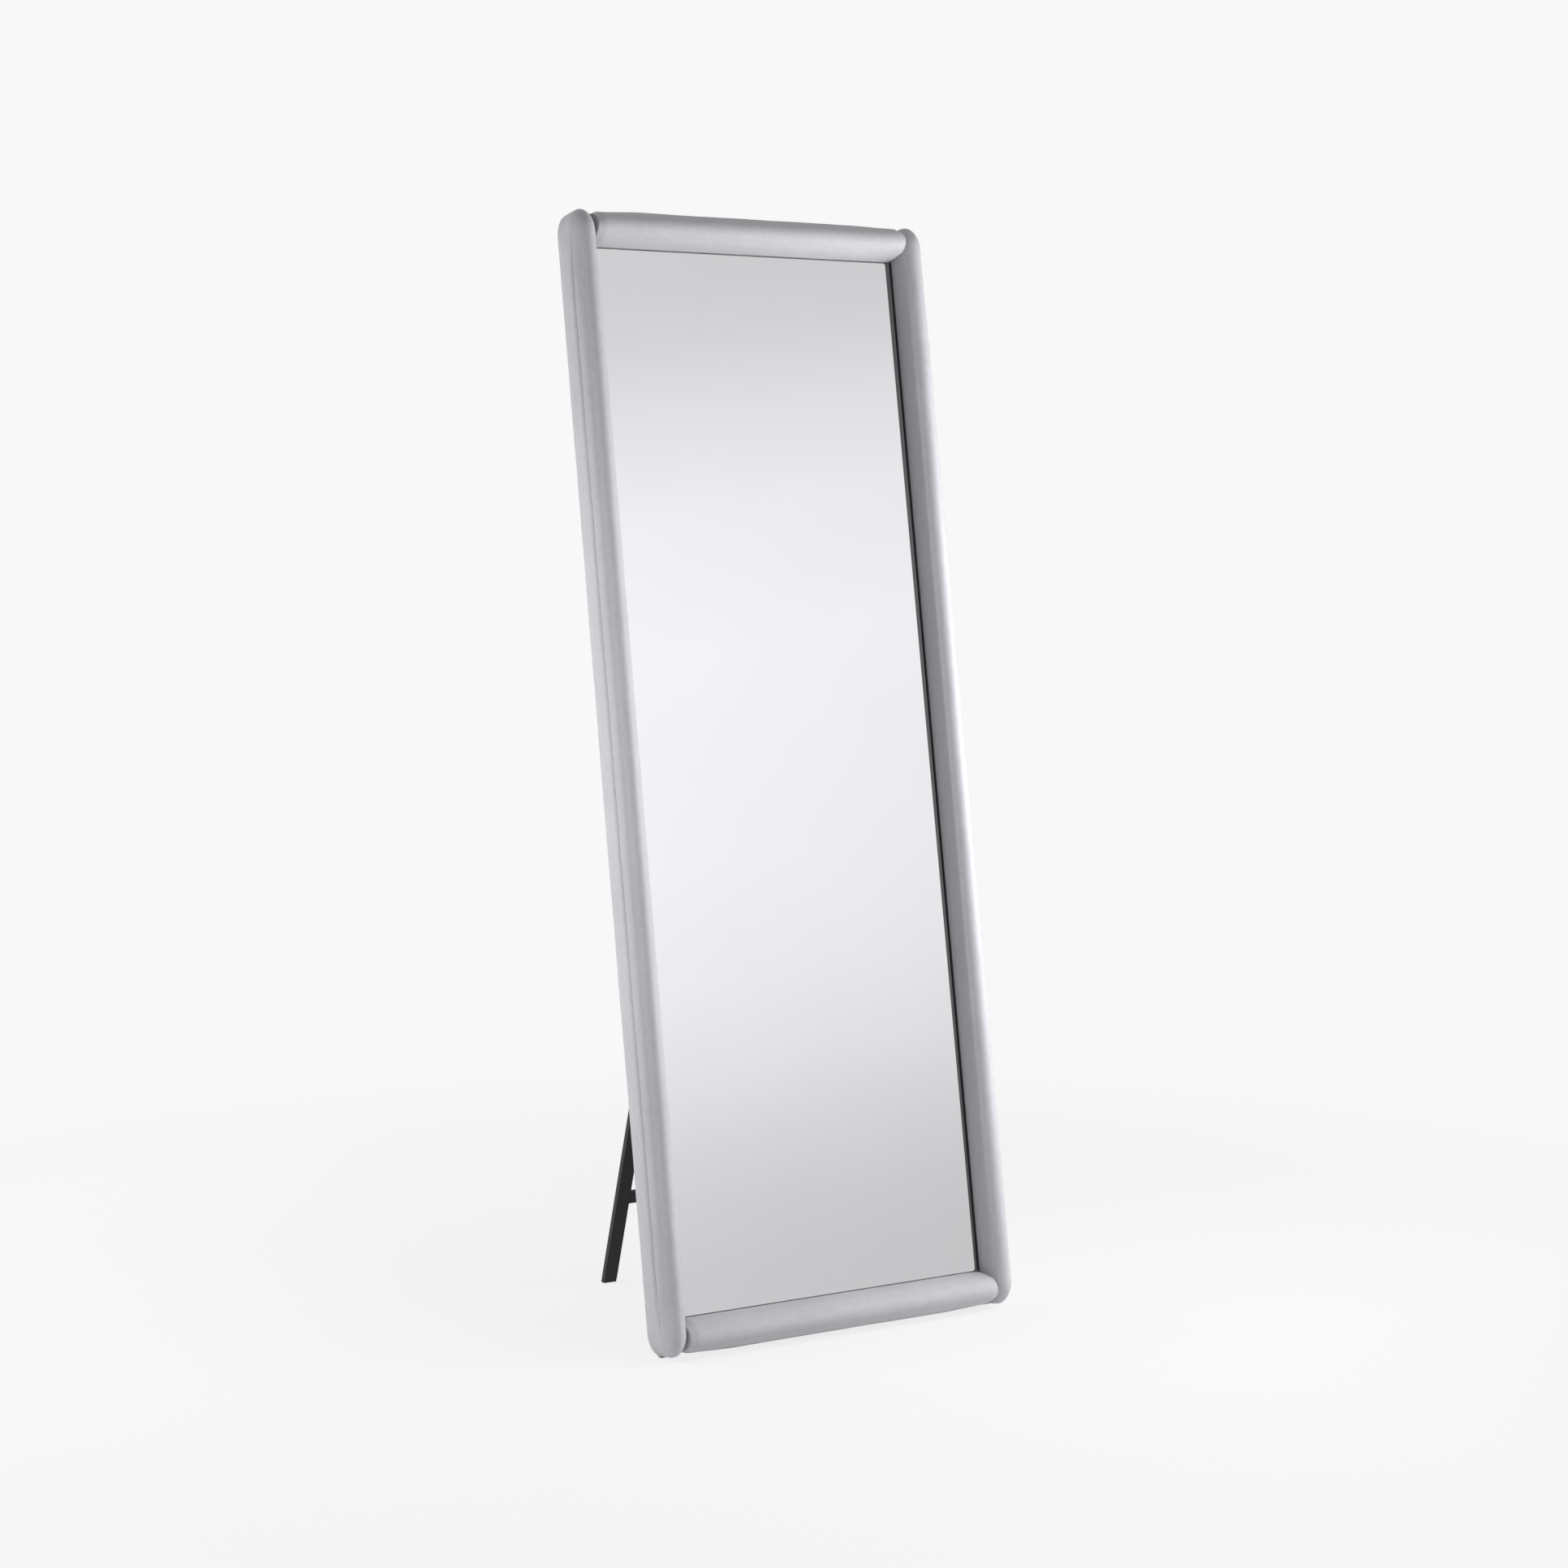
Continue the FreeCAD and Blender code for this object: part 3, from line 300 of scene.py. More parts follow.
def make_board():
    made = Finish("fibreboard", LEAN, Specular_IOR_Level=0.3)
    fibres = made.noise(260.0, 6.0, 0.7, made.stretched(1.0, 1.0, 0.45), 0.7)
    cloud = made.noise(11.0, 4.0, 0.55)
    base = made.ramp(fibres, [(0.33, (0.030, 0.029, 0.028)), (0.52, (0.046, 0.044, 0.042)),
                              (0.72, (0.070, 0.066, 0.062))])
    made.colour(made.mix(1.0, base, made.ramp(cloud, [(0.3, (0.8, 0.8, 0.8)), (0.7, (1.0, 1.0, 1.0))]),
                         "MULTIPLY"))
    made.roughness(made.spread(fibres, 0.3, 0.7, 0.62, 0.82))
    made.bump((fibres, 0.3, 0.2 * MM))
    return made.material


def make_powder_coat(name, shade, tilt):
    made = Finish(name, tilt, Specular_IOR_Level=0.25)
    peel = made.noise(850.0, 2.0, 0.5)
    rub = made.noise(26.0, 6.0, 0.65, made.stretched(1.0, 1.0, 0.35))
    edge = made.add("Bevel", {"Radius": 1.2 * MM}, samples=4).outputs["Normal"]
    flat = made.add("NewGeometry", {}).outputs["Normal"]
    turn = made.add("VectorMath", {}, operation="DOT_PRODUCT")
    made.feed(turn.inputs[0], edge)
    made.feed(turn.inputs[1], flat)
    worn = made.maths("MULTIPLY", made.spread(turn.outputs["Value"], 0.99, 0.86, 0.0, 1.0),
                      made.spread(rub, 0.45, 0.62, 0.0, 1.0))
    coat = made.ramp(rub, [
        (0.3, (shade, shade, shade * 1.08)), (0.75, (shade * 1.35, shade * 1.35, shade * 1.45)),
    ])
    made.colour(made.mix(made.maths("MULTIPLY", worn, 0.35), coat, (0.12, 0.12, 0.122)))
    made.roughness(made.spread(rub, 0.3, 0.75, 0.36, 0.5))
    made.bump((peel, 0.12, 0.15 * MM))
    return made.material


def make_zinc(name):
    made = Finish(name, LEAN, Metallic=1.0)
    spangle = made.add("TexVoronoi", {"Vector": made.place, "Scale": 420.0}).outputs["Distance"]
    stain = made.noise(120.0, 4.0, 0.6)
    made.colour(made.ramp(stain, [(0.3, (0.50, 0.50, 0.51)), (0.7, (0.66, 0.66, 0.67))]))
    made.roughness(made.spread(spangle, 0.0, 0.7, 0.28, 0.45))
    made.bump((stain, 0.15, 0.1 * MM))
    return made.material


FABRIC = make_fabric()
THREAD = make_thread()
MIRROR = make_mirror()
BEAD = make_rubber("bead_rubber", 0.012)
# the rail beads are the same black rubber as the stile beads, painted lighter: painted light standing in for
# the fainter shade line along the rails
RAIL_BEAD_PAINTED_LIGHTER = make_rubber("rail_bead_rubber_painted_lighter", 0.10)
PAD = make_rubber("pad_rubber", 0.45)
PLUG = make_rubber("plug_rubber", 0.022, STAND_LEAN)
FOAM = make_foam()
PINE_UPRIGHT = make_wood("pine_upright", (0.42, 0.27, 0.13), (0.66, 0.48, 0.27), (1.0, 1.0, 0.07), 0.6, 0.8)
PINE_ACROSS = make_wood("pine_across", (0.42, 0.27, 0.13), (0.66, 0.48, 0.27), (0.07, 1.0, 1.0), 0.6, 0.8)
STAINED_UPRIGHT = make_wood("stained_upright", (0.030, 0.027, 0.025), (0.085, 0.078, 0.074),
                            (1.0, 1.0, 0.07), 0.5, 0.68)
STAINED_ACROSS = make_wood("stained_across", (0.030, 0.027, 0.025), (0.085, 0.078, 0.074),
                           (0.07, 1.0, 1.0), 0.5, 0.68)
BOARD = make_board()
PLATE_COAT = make_powder_coat("plate_coat", 0.028, LEAN)
STAND_COAT = make_powder_coat("stand_coat", 0.012, STAND_LEAN)
ZINC = make_zinc("zinc_plating")
STEEL_WIRE = make_zinc("steel_wire")


def finish_of(node):
    across = node.endswith(("_top", "_bottom")) or node == "hinge_batten"
    for start, material in (
        ("mirror_glass", MIRROR), ("glass_bead", RAIL_BEAD_PAINTED_LIGHTER if across else BEAD), ("backing_board", BOARD),
        ("cleat", STAINED_ACROSS if across else STAINED_UPRIGHT), ("hinge_batten", STAINED_ACROSS),
        ("corner_plate", PLATE_COAT), ("floor_pad", PAD), ("hinge_bracket", PLATE_COAT),
        ("hinge_pin", ZINC), ("hinge_screws", ZINC),
        ("stand_", STAND_COAT), ("leg_plug", PLUG),
        ("stile_core", PINE_UPRIGHT), ("rail_core", PINE_ACROSS),
        ("stile_foam", FOAM), ("rail_foam", FOAM),
        ("stile_cover", FABRIC), ("rail_cover", FABRIC),
    ):
        if node.startswith(start):
            return material
    return PLATE_COAT


for node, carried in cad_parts.items():
    carried.data.materials.clear()
    carried.data.materials.append(finish_of(node))


# ---------------------------------------------------------------- upholstered rolls

VOXEL = 4.0 * MM
CLOTH_FRAMES = 12
START_SMALLER = 1.0 * MM
MOVEMENT_CAP = 4.0 * MM
PROUD = 1.0 * MM                      # fabric beyond the solid, on the outside and the crown
DRAWN_IN = 1.0 * MM                   # the most that fabric lies inside the solid's outside
SEAM_DEPTH = 43.5 * MM                # seam in front of the back plane
HEM_WIDTH = 14.0 * MM                 # turned-in fabric on the back, from the inner edge
TIP_PROUD = 0.8 * MM                  # fabric beyond the solid at a stile's tips
END_INFLUENCE = 22.0 * MM             # how far from a rail's end the bag's own rounding is felt
STILE_DOME = 40.0 * MM
RAIL_ROUND = 2.0 * MM
COPE = 4.0 * MM                       # the most that a rail's fabric follows the stile past the rail's end
CAST_FROM = 0.4                       # rays start this far out, beyond any roll's surface
RING_STEP = 5.0 * MM
DOME_RINGS = 18
RAIL_END_RINGS = 6
COLUMN_STEP = 2.8 * MM
SEAM_HALF, SEAM_STEP = 7.0 * MM, 0.7 * MM      # finer columns either side of the seam
HEM_HALF, HEM_STEP = 3.0 * MM, 0.75 * MM
BACK_SKIN = 3.0 * MM                  # how near the back plane the outline counts as the back
SEAM_FADE = 90.0 * MM                 # the seam's depth builds up over this much beyond a dome


def outer_shell(node):
    """The outside of a cover, which is a hollow skin, as one closed mesh."""
    work = bmesh.new()
    work.from_mesh(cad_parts[node].data)
    bmesh.ops.remove_doubles(work, verts=work.verts, dist=0.002 * MM)
    start = min(work.verts, key=lambda v: v.co.z)
    found, todo = {start}, [start]
    while todo:
        for edge in todo.pop().link_edges:
            for v in edge.verts:
                if v not in found:
                    found.add(v)
                    todo.append(v)
    bmesh.ops.delete(work, geom=[v for v in work.verts if v not in found], context="VERTS")
    bmesh.ops.recalc_face_normals(work, faces=work.faces)
    mesh = bpy.data.meshes.new(f"{node}_outside")
    work.to_mesh(mesh)
    work.free()
    return mesh


def puffed(shell):
    """The roll as a taut cloth bag under pressure, from a slightly smaller start."""
    bag = add_object("bag", shell.copy())
    remesh = bag.modifiers.new("skin", "REMESH")
    remesh.mode = "VOXEL"
    remesh.voxel_size = VOXEL
    remesh.adaptivity = 0.0
    ease = bag.modifiers.new("ease", "SMOOTH")
    ease.factor, ease.iterations = 0.5, 5
    bag.data = applied(bag)
    bag.modifiers.clear()
    start = points_of(bag.data) - normals_of(bag.data) * START_SMALLER
    set_points(bag.data, start)
    cloth = bag.modifiers.new("cloth", "CLOTH")
    settings = cloth.settings
    settings.quality = 5
    settings.mass = 0.3
    settings.tension_stiffness = settings.compression_stiffness = 40.0
    settings.shear_stiffness = 20.0
    settings.bending_stiffness = 4.0
    settings.use_pressure = True
    settings.uniform_pressure_force = 4.0
    settings.effector_weights.gravity = 0.0
    cloth.collision_settings.use_self_collision = False
    cloth.point_cache.frame_end = CLOTH_FRAMES
    for step in range(1, CLOTH_FRAMES + 1):
        scene.frame_set(step)
    swelled = applied(bag)
    move = points_of(swelled) - start
    length = np.linalg.norm(move, axis=1, keepdims=True)
    set_points(bag.data, start + move * np.minimum(1.0, MOVEMENT_CAP / np.maximum(length, 1e-9)))
    bag.modifiers.clear()
    scene.frame_set(1)
    finer = bag.modifiers.new("finer", "SUBSURF")
    finer.levels = finer.render_levels = 1
    tree = tree_of(applied(bag))
    bpy.data.objects.remove(bag)
    return tree


class Roll:
    """A closed cover drawn as rings round the roll's axis.

    A stile has a fan of rings over each domed end. A rail has a flat end with a small rounding."""

    def __init__(self, name, cover, foam, axis, side, dome, seed):
        self.name, self.cover, self.foam = name, cover, foam
        self.axis, self.side, self.seed = axis, side, seed
        self.flat_ended = axis == RIGHT
        low, high = box_along(cover)
        middle = (low + high) / 2
        self.centre = RIGHT * middle[0] + FRONT * middle[1] + UP * middle[2]
        self.depth = high[1] - low[1]
        spans = high - low
        self.half = spans[2 if axis == UP else 0] / 2
        self.width = spans[0 if axis == UP else 2]
        self.straight = self.half - dome
        self.dome = dome
        shell = outer_shell(cover)
        self.solid = tree_of(shell)
        self.soft = puffed(shell)
        bpy.data.meshes.remove(shell)

    def reach(self, tree, origin, way):
        """Distance from origin out to the tree's surface, with the normal there."""
        hit, normal, _, distance = tree.ray_cast(origin + way * CAST_FROM, -way)
        if hit is None:
            return 0.0, way
        return CAST_FROM - distance, normal

    def outline(self):
        """The section's angles from the front towards the outer side, with their places along the girth."""
        angles = np.radians(np.arange(-180.0, 180.0, 0.25))
        ways = [FRONT * math.cos(a) + self.side * math.sin(a) for a in angles]
        reach = np.array([self.reach(self.solid, self.centre, way)[0] for way in ways])
        across, depth = reach * np.sin(angles), reach * np.cos(angles) + self.depth / 2
        step = np.hypot(np.diff(across), np.diff(depth))
        return angles, np.concatenate([[0.0], np.cumsum(step)]), across, depth

    def columns(self):
        angles, girth, across, depth = self.outline()
        outer = np.where(across > 0, np.abs(depth - SEAM_DEPTH), 1.0)
        self.seam_girth = girth[np.argmin(outer)]
        hem = np.where(depth < BACK_SKIN, np.abs(across + self.width / 2 - HEM_WIDTH), 1.0)
        self.hem_girth = girth[np.argmin(hem)]
        wanted = list(np.arange(0.0, girth[-1], COLUMN_STEP))
        for place, half, step in (
            (self.seam_girth, SEAM_HALF, SEAM_STEP), (self.hem_girth, HEM_HALF, HEM_STEP),
        ):
            wanted = [g for g in wanted if abs(g - place) > half]
            wanted += list(np.arange(place - half, place + half, step))
        wanted = np.array(sorted(g % girth[-1] for g in wanted))
        self.girth = wanted
        self.full_girth = girth[-1]
        self.angle = np.interp(wanted, girth, angles)

    def rings(self):
        """(origin along the axis, fan angle) of each ring, from one end to the other."""
        count = max(2, round(2 * self.straight / RING_STEP))
        if self.flat_ended:
            fan = np.radians(np.linspace(0.0, 90.0, RAIL_END_RINGS))[1:]
        else:
            fan = np.radians(np.linspace(0.0, 90.0, DOME_RINGS))[1:-1]
        low = [(-self.straight, -a) for a in fan[::-1]]
        high = [(self.straight, a) for a in fan]
        return low + [(s, 0.0) for s in np.linspace(-self.straight, self.straight, count)] + high

    def section(self, along, way):
        """Distance out to the fabric from the axis."""
        origin = self.centre + self.axis * along
        solid, normal = self.reach(self.solid, origin, way)
        if self.flat_ended:               # as plump at the ends as further in
            inner = self.half - END_INFLUENCE
            origin = self.centre + self.axis * max(-inner, min(inner, along))
        soft, _ = self.reach(self.soft, origin, way)
        outward = max(0.0, normal.dot(FRONT)) + max(0.0, normal.dot(self.side))
        tip = abs(normal.dot(self.axis))
        outward *= 1.0 - min(1.0, tip * 1.2)
        least = solid - DRAWN_IN * (1.0 - tip) + TIP_PROUD * tip
        return max(least, min(soft, solid + PROUD * min(1.0, outward)))

    def room(self, sign, across, reach):
        """How far past its own end the fabric may run before it meets the stile's round side."""
        start = self.centre + self.axis * (sign * self.straight) + across * reach
        _, _, _, distance = self.stiles[0 if sign < 0 else 1].solid.ray_cast(start, self.axis * sign)
        return COPE if distance is None else min(COPE, max(0.0, distance - self.dome))

    def point(self, along, fan, across):
        if self.flat_ended and fan:
            sign = math.copysign(1.0, fan)
            reach = self.section(sign * self.straight, across)
            rounding = self.dome + self.room(sign, across, reach)
            reach -= self.dome * (1.0 - math.cos(fan))
            return self.centre + self.axis * (along + rounding * math.sin(fan)) + across * reach
        way = across * math.cos(fan) + self.axis * math.sin(fan)
        return self.centre + self.axis * along + way * self.section(along, way)

    def make(self):
        self.columns()
        rings = self.rings()
        points, faces = [], []
        for along, fan in rings:
            for a in self.angle:
                points.append(self.point(along, fan, FRONT * math.cos(a) + self.side * math.sin(a)))
        count, n = len(rings), len(self.angle)
        for sign in (-1.0, 1.0):
            reach = self.dome if self.flat_ended else self.section(sign * self.straight, self.axis * sign)
            points.append(self.centre + self.axis * (sign * (self.straight + reach)))
        for i in range(count - 1):
            for j in range(n):
                k = (j + 1) % n
                faces.append((i * n + j, i * n + k, (i + 1) * n + k, (i + 1) * n + j))
        for j in range(n):
            k = (j + 1) % n
            faces.append((len(points) - 2, k, j))
            faces.append((len(points) - 1, (count - 1) * n + j, (count - 1) * n + k))
        mesh = mesh_from(self.name, points, faces)
        work = bmesh.new()
        work.from_mesh(mesh)
        bmesh.ops.recalc_face_normals(work, faces=work.faces)
        work.to_mesh(mesh)
        work.free()
        self.dress(mesh, rings)
        self.map_cloth(mesh)
        self.mesh = mesh
        made = add_object(self.name, mesh)
        mesh.materials.append(FABRIC)
        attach(made, "mirror_frame")
        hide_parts(self.cover, self.foam)
        made.visible_glossy = False       # the silvered glass shows the studio alone

    def dress(self, mesh, rings):
        """Seam, hem, gathers at the ends and the slow unevenness of stuffed cloth."""
        n = len(self.angle)
        count = len(rings)
        points, normals = points_of(mesh), normals_of(mesh)
        along = np.array([s + math.copysign(self.dome * math.sin(abs(f)), f) if f else s for s, f in rings])
        along = np.append(np.repeat(along, n), [-self.half, self.half])
        girth = np.append(np.tile(self.girth, count), [self.seam_girth + 0.1] * 2)
        from_end = self.half - np.abs(along)
        fade = smoothstep(from_end, 0.2 * self.dome, self.dome + SEAM_FADE)

        from_seam = (girth - self.seam_girth) / MM
        if self.angle[10] > self.angle[0]:
            from_seam = -from_seam
        # positive values lie in front of the seam: a ridge there and a groove behind it
        seam = 1.3 * np.exp(-((from_seam - 1.9) / 1.5) ** 2) - 1.1 * np.exp(-((from_seam + 1.3) / 1.2) ** 2)
        seam -= 0.4 * np.exp(-(from_seam / 7.0) ** 2)
        # the fold's step down from the turned-in strip, which lies next to the inner edge
        from_hem = (self.hem_girth - girth) / MM
        hem = -0.6 * smoothstep(from_hem, -0.9, 0.9) * smoothstep(-from_hem, -12.0, -6.0)
        on_back = normals @ np.array(FRONT) < -0.9
        hem = np.where(on_back & (from_end > self.dome), hem, 0.0)

        turn = np.append(np.tile(self.angle, count), [0.0, 0.0])
        gathers = -0.28 * np.exp(-((from_end - 0.35 * self.dome) / (0.3 * self.dome)) ** 2)
        gathers *= 0.5 + 0.5 * np.sin(turn * 17.0 + self.seed + 2.0 * np.sin(turn * 3.0 + self.seed))
        facing = np.clip(normals @ np.array(FRONT), 0.0, 1.0)
        slow = np.array([
            0.55 * noise.noise(Vector(p) * 11.0 + Vector((self.seed, 0.0, 0.0)))
            + 0.22 * noise.noise(Vector(p) * 34.0 + Vector((0.0, self.seed, 0.0)))
            for p in points
        ])
        outer = np.clip(normals @ np.array(self.side), 0.0, 1.0)
        total = seam * fade + hem + gathers * np.maximum(facing, outer) + slow * np.maximum(facing, outer)
        set_points(mesh, points + normals * (total * MM)[:, None])
        self.ring_count = count
        self.ring_along = along[:count * n:n]

    def map_cloth(self, mesh):
        """Metres round the girth and along the roll, for the weave."""
        n = len(self.angle)
        places = [(g, s) for s in self.ring_along for g in self.girth] + [(0.0, -self.half), (0.0, self.half)]
        layer = mesh.uv_layers.new(name="cloth")
        for polygon in mesh.polygons:
            wraps = {v % n for v in polygon.vertices if v < n * self.ring_count}
            split = 0 in wraps and n - 1 in wraps
            for loop in polygon.loop_indices:
                v = mesh.loops[loop].vertex_index
                u, w = places[v]
                if split and v % n == 0:
                    u += self.full_girth
                layer.data[loop].uv = (u, w)

    def line(self, girth):
        """Points, normals and places along the roll of the mesh's line at that place on the girth."""
        n = len(self.angle)
        column = int(np.argmin(np.abs(self.girth - girth)))
        chosen = [i * n + column for i in range(self.ring_count)]
        points, normals = points_of(self.mesh), normals_of(self.mesh)
        return points[chosen], normals[chosen], self.ring_along


ROLLS = [
    Roll("stile_roll_left", "stile_cover_left", "stile_foam_left", UP, -RIGHT, STILE_DOME, 3.1),
    Roll("stile_roll_right", "stile_cover_right", "stile_foam_right", UP, RIGHT, STILE_DOME, 7.7),
    Roll("rail_roll_top", "rail_cover_top", "rail_foam_top", RIGHT, UP, RAIL_ROUND, 12.9),
    Roll("rail_roll_bottom", "rail_cover_bottom", "rail_foam_bottom", RIGHT, -UP, RAIL_ROUND, 18.2),
]
for roll in ROLLS:
    roll.stiles = ROLLS[:2]
    roll.make()


# ---------------------------------------------------------------- stitches and staples

def tube(path, radii, sides, points, faces):
    """Adds a closed tube along path; normals come from the path's own bend."""
    first = len(points)
    path = [Vector(p) for p in path]
    for i, p in enumerate(path):
        ahead = (path[min(i + 1, len(path) - 1)] - path[max(i - 1, 0)]).normalized()
        across = ahead.orthogonal().normalized()
        if i:
            across = (last - ahead * last.dot(ahead)).normalized()
        last = across
        other = ahead.cross(across)
        for k in range(sides):
            a = 2 * math.pi * k / sides
            points.append(p + (across * math.cos(a) + other * math.sin(a)) * radii[i])
    for i in range(len(path) - 1):
        for k in range(sides):
            m = (k + 1) % sides
            low, high = first + i * sides, first + (i + 1) * sides
            faces.append((low + k, low + m, high + m, high + k))
    faces.append(tuple(first + k for k in reversed(range(sides))))
    faces.append(tuple(first + (len(path) - 1) * sides + k for k in range(sides)))


def interpolated(roll, girth, along):
    points, normals, places = roll.line(girth)
    at = [np.interp(along, places, points[:, i]) for i in range(3)]
    normal = [np.interp(along, places, normals[:, i]) for i in range(3)]
    return np.stack(at, -1), np.stack(normal, -1)


STITCH = 4.2 * MM
STITCH_PITCH = 6.0 * MM
STITCH_RADIUS = 0.4 * MM


def make_stitches(roll):
    """One row of thread just in front of the seam."""
    sign = -1.0 if roll.angle[10] > roll.angle[0] else 1.0
    girth = roll.seam_girth + sign * 3.6 * MM
    reach = roll.straight + 0.2 * roll.dome
    starts = np.arange(-reach, reach - STITCH, STITCH_PITCH)
    shares = np.linspace(0.0, 1.0, 5)
    lift = (-0.25, 0.16, 0.24, 0.16, -0.25)
    points, faces = [], []
    for start in starts:
        at, normal = interpolated(roll, girth, start + shares * STITCH)
        path = [Vector(p) + Vector(m).normalized() * (h * MM) for p, m, h in zip(at, normal, lift)]
        tube(path, [STITCH_RADIUS * r for r in (0.7, 1.0, 1.05, 1.0, 0.7)], 6, points, faces)
    made = add_object(roll.name.replace("roll", "stitches"), mesh_from("stitches", points, faces))
    made.data.materials.append(THREAD)
    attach(made, "mirror_frame")


STAPLE_WIDTH = 10.0 * MM
STAPLE_PITCH = 38.0 * MM
STAPLE_FROM_EDGE = 8.0 * MM
STAPLE_CLEAR = 84.0 * MM             # no staples under the corner plates


def make_staples(roll):
    """Wire staples through the turned-in hem on the back."""
    _, girth, across, depth = roll.outline()
    row = np.where(depth < BACK_SKIN, np.abs(across + roll.width / 2 - STAPLE_FROM_EDGE), 1.0)
    row_girth = girth[np.argmin(row)]
    reach = roll.half - STAPLE_CLEAR
    count = int(2 * reach / STAPLE_PITCH)
    points, faces = [], []
    for i, middle in enumerate(np.linspace(-reach, reach, count)):
        wobble = 0.9 * MM * math.sin(i * 2.4 + roll.seed)
        half = STAPLE_WIDTH / 2
        places = middle + np.array([-half, -half, -half * 0.9, 0.0, half * 0.9, half, half])
        at, normal = interpolated(roll, row_girth + wobble, places)
        lift = (-1.2, -0.1, 0.22, 0.18, 0.22, -0.1, -1.2)
        path = [Vector(p) + Vector(m).normalized() * (h * MM) for p, m, h in zip(at, normal, lift)]
        tube(path, [0.36 * MM] * len(path), 6, points, faces)
    made = add_object(roll.name.replace("roll", "staples"), mesh_from("staples", points, faces))
    made.data.materials.append(STEEL_WIRE)
    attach(made, "mirror_frame")


for roll in ROLLS:
    make_stitches(roll)
    make_staples(roll)


PLATE_LEG_MIDDLE = 13.0 * MM          # middle of a corner plate's leg, from its outer edge
PLATE_SCREW_PLACES = (45.0 * MM, 63.0 * MM)
# (radius, height over the plate) of the head, from the shank's side up and into its socket
SCREW_PROFILE = [
    (1.9, -3.0), (1.9, 0.0), (3.8, 0.0), (3.8, 0.5), (3.4, 1.2), (2.3, 1.8), (1.2, 1.8), (0.9, 0.9),
]
SCREW_SIDES = 20


def make_corner_screws():
    """Screws through the legs of the corner plates into the timber."""
    points, faces = [], []
    for corner in ("top_left", "top_right", "bottom_left", "bottom_right"):
        low, high = box_along(f"corner_plate_{corner}")
        across = -1.0 if corner.endswith("left") else 1.0
        upright = 1.0 if corner.startswith("top") else -1.0
        edge_across = low[0] if across < 0 else high[0]
        edge_upright = high[2] if upright > 0 else low[2]
        for place in PLATE_SCREW_PLACES:
            for x, z in ((place, PLATE_LEG_MIDDLE), (PLATE_LEG_MIDDLE, place)):
                middle = (RIGHT * (edge_across - across * x) + FRONT * low[1]
                          + UP * (edge_upright - upright * z))
                first = len(points)
                for radius, height in SCREW_PROFILE:
                    for k in range(SCREW_SIDES):
                        a = 2 * math.pi * k / SCREW_SIDES
                        way = RIGHT * math.cos(a) + UP * math.sin(a)
                        points.append(middle - FRONT * (height * MM) + way * (radius * MM))
                for i in range(len(SCREW_PROFILE) - 1):
                    for k in range(SCREW_SIDES):
                        m = (k + 1) % SCREW_SIDES
                        one, two = first + i * SCREW_SIDES, first + (i + 1) * SCREW_SIDES
                        faces.append((one + k, two + k, two + m, one + m))
                top = first + (len(SCREW_PROFILE) - 1) * SCREW_SIDES
                faces.append(tuple(top + k for k in reversed(range(SCREW_SIDES))))
                faces.append(tuple(first + k for k in range(SCREW_SIDES)))
    mesh = mesh_from("corner_screws", points, faces, smooth=False)
    made = add_object("corner_screws", mesh)
    mesh.materials.append(ZINC)
    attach(made, "mirror_frame")


make_corner_screws()


# ---------------------------------------------------------------- camera

CAMERA_FROM_FOOT = Vector((-2.4307, -3.9327, 1.2967))   # from the middle of the frame's lower back edge
CAMERA_YAW = math.radians(30.862)
CAMERA_PITCH = math.radians(-5.168)
CAMERA_LENS = 67.33
CAMERA_SENSOR = 36.0


def make_camera():
    data = bpy.data.cameras.new("camera")
    data.lens = CAMERA_LENS
    data.sensor_width = CAMERA_SENSOR
    data.dof.use_dof = False
    made = bpy.data.objects.new("camera", data)
    scene.collection.objects.link(made)
    ahead = Vector((math.sin(CAMERA_YAW) * math.cos(CAMERA_PITCH),
                    math.cos(CAMERA_YAW) * math.cos(CAMERA_PITCH), math.sin(CAMERA_PITCH)))
    low, _ = box_along("stile_cover_left")
    made.location = FRONT * low[1] + UP * low[2] + CAMERA_FROM_FOOT
    made.rotation_mode = "QUATERNION"
    made.rotation_quaternion = ahead.to_track_quat("-Z", "Y")
    scene.camera = made


make_camera()


# ---------------------------------------------------------------- floor, light and surroundings

def adder(tree):
    """A function that adds a node to that tree."""
    def add(kind, **settings):
        node = tree.nodes.new(f"ShaderNode{kind}")
        for setting, wanted in settings.items():
            setattr(node, setting, wanted)
        return node
    return add


BACKGROUND = 0.939
FLOOR_REACH = 14.0


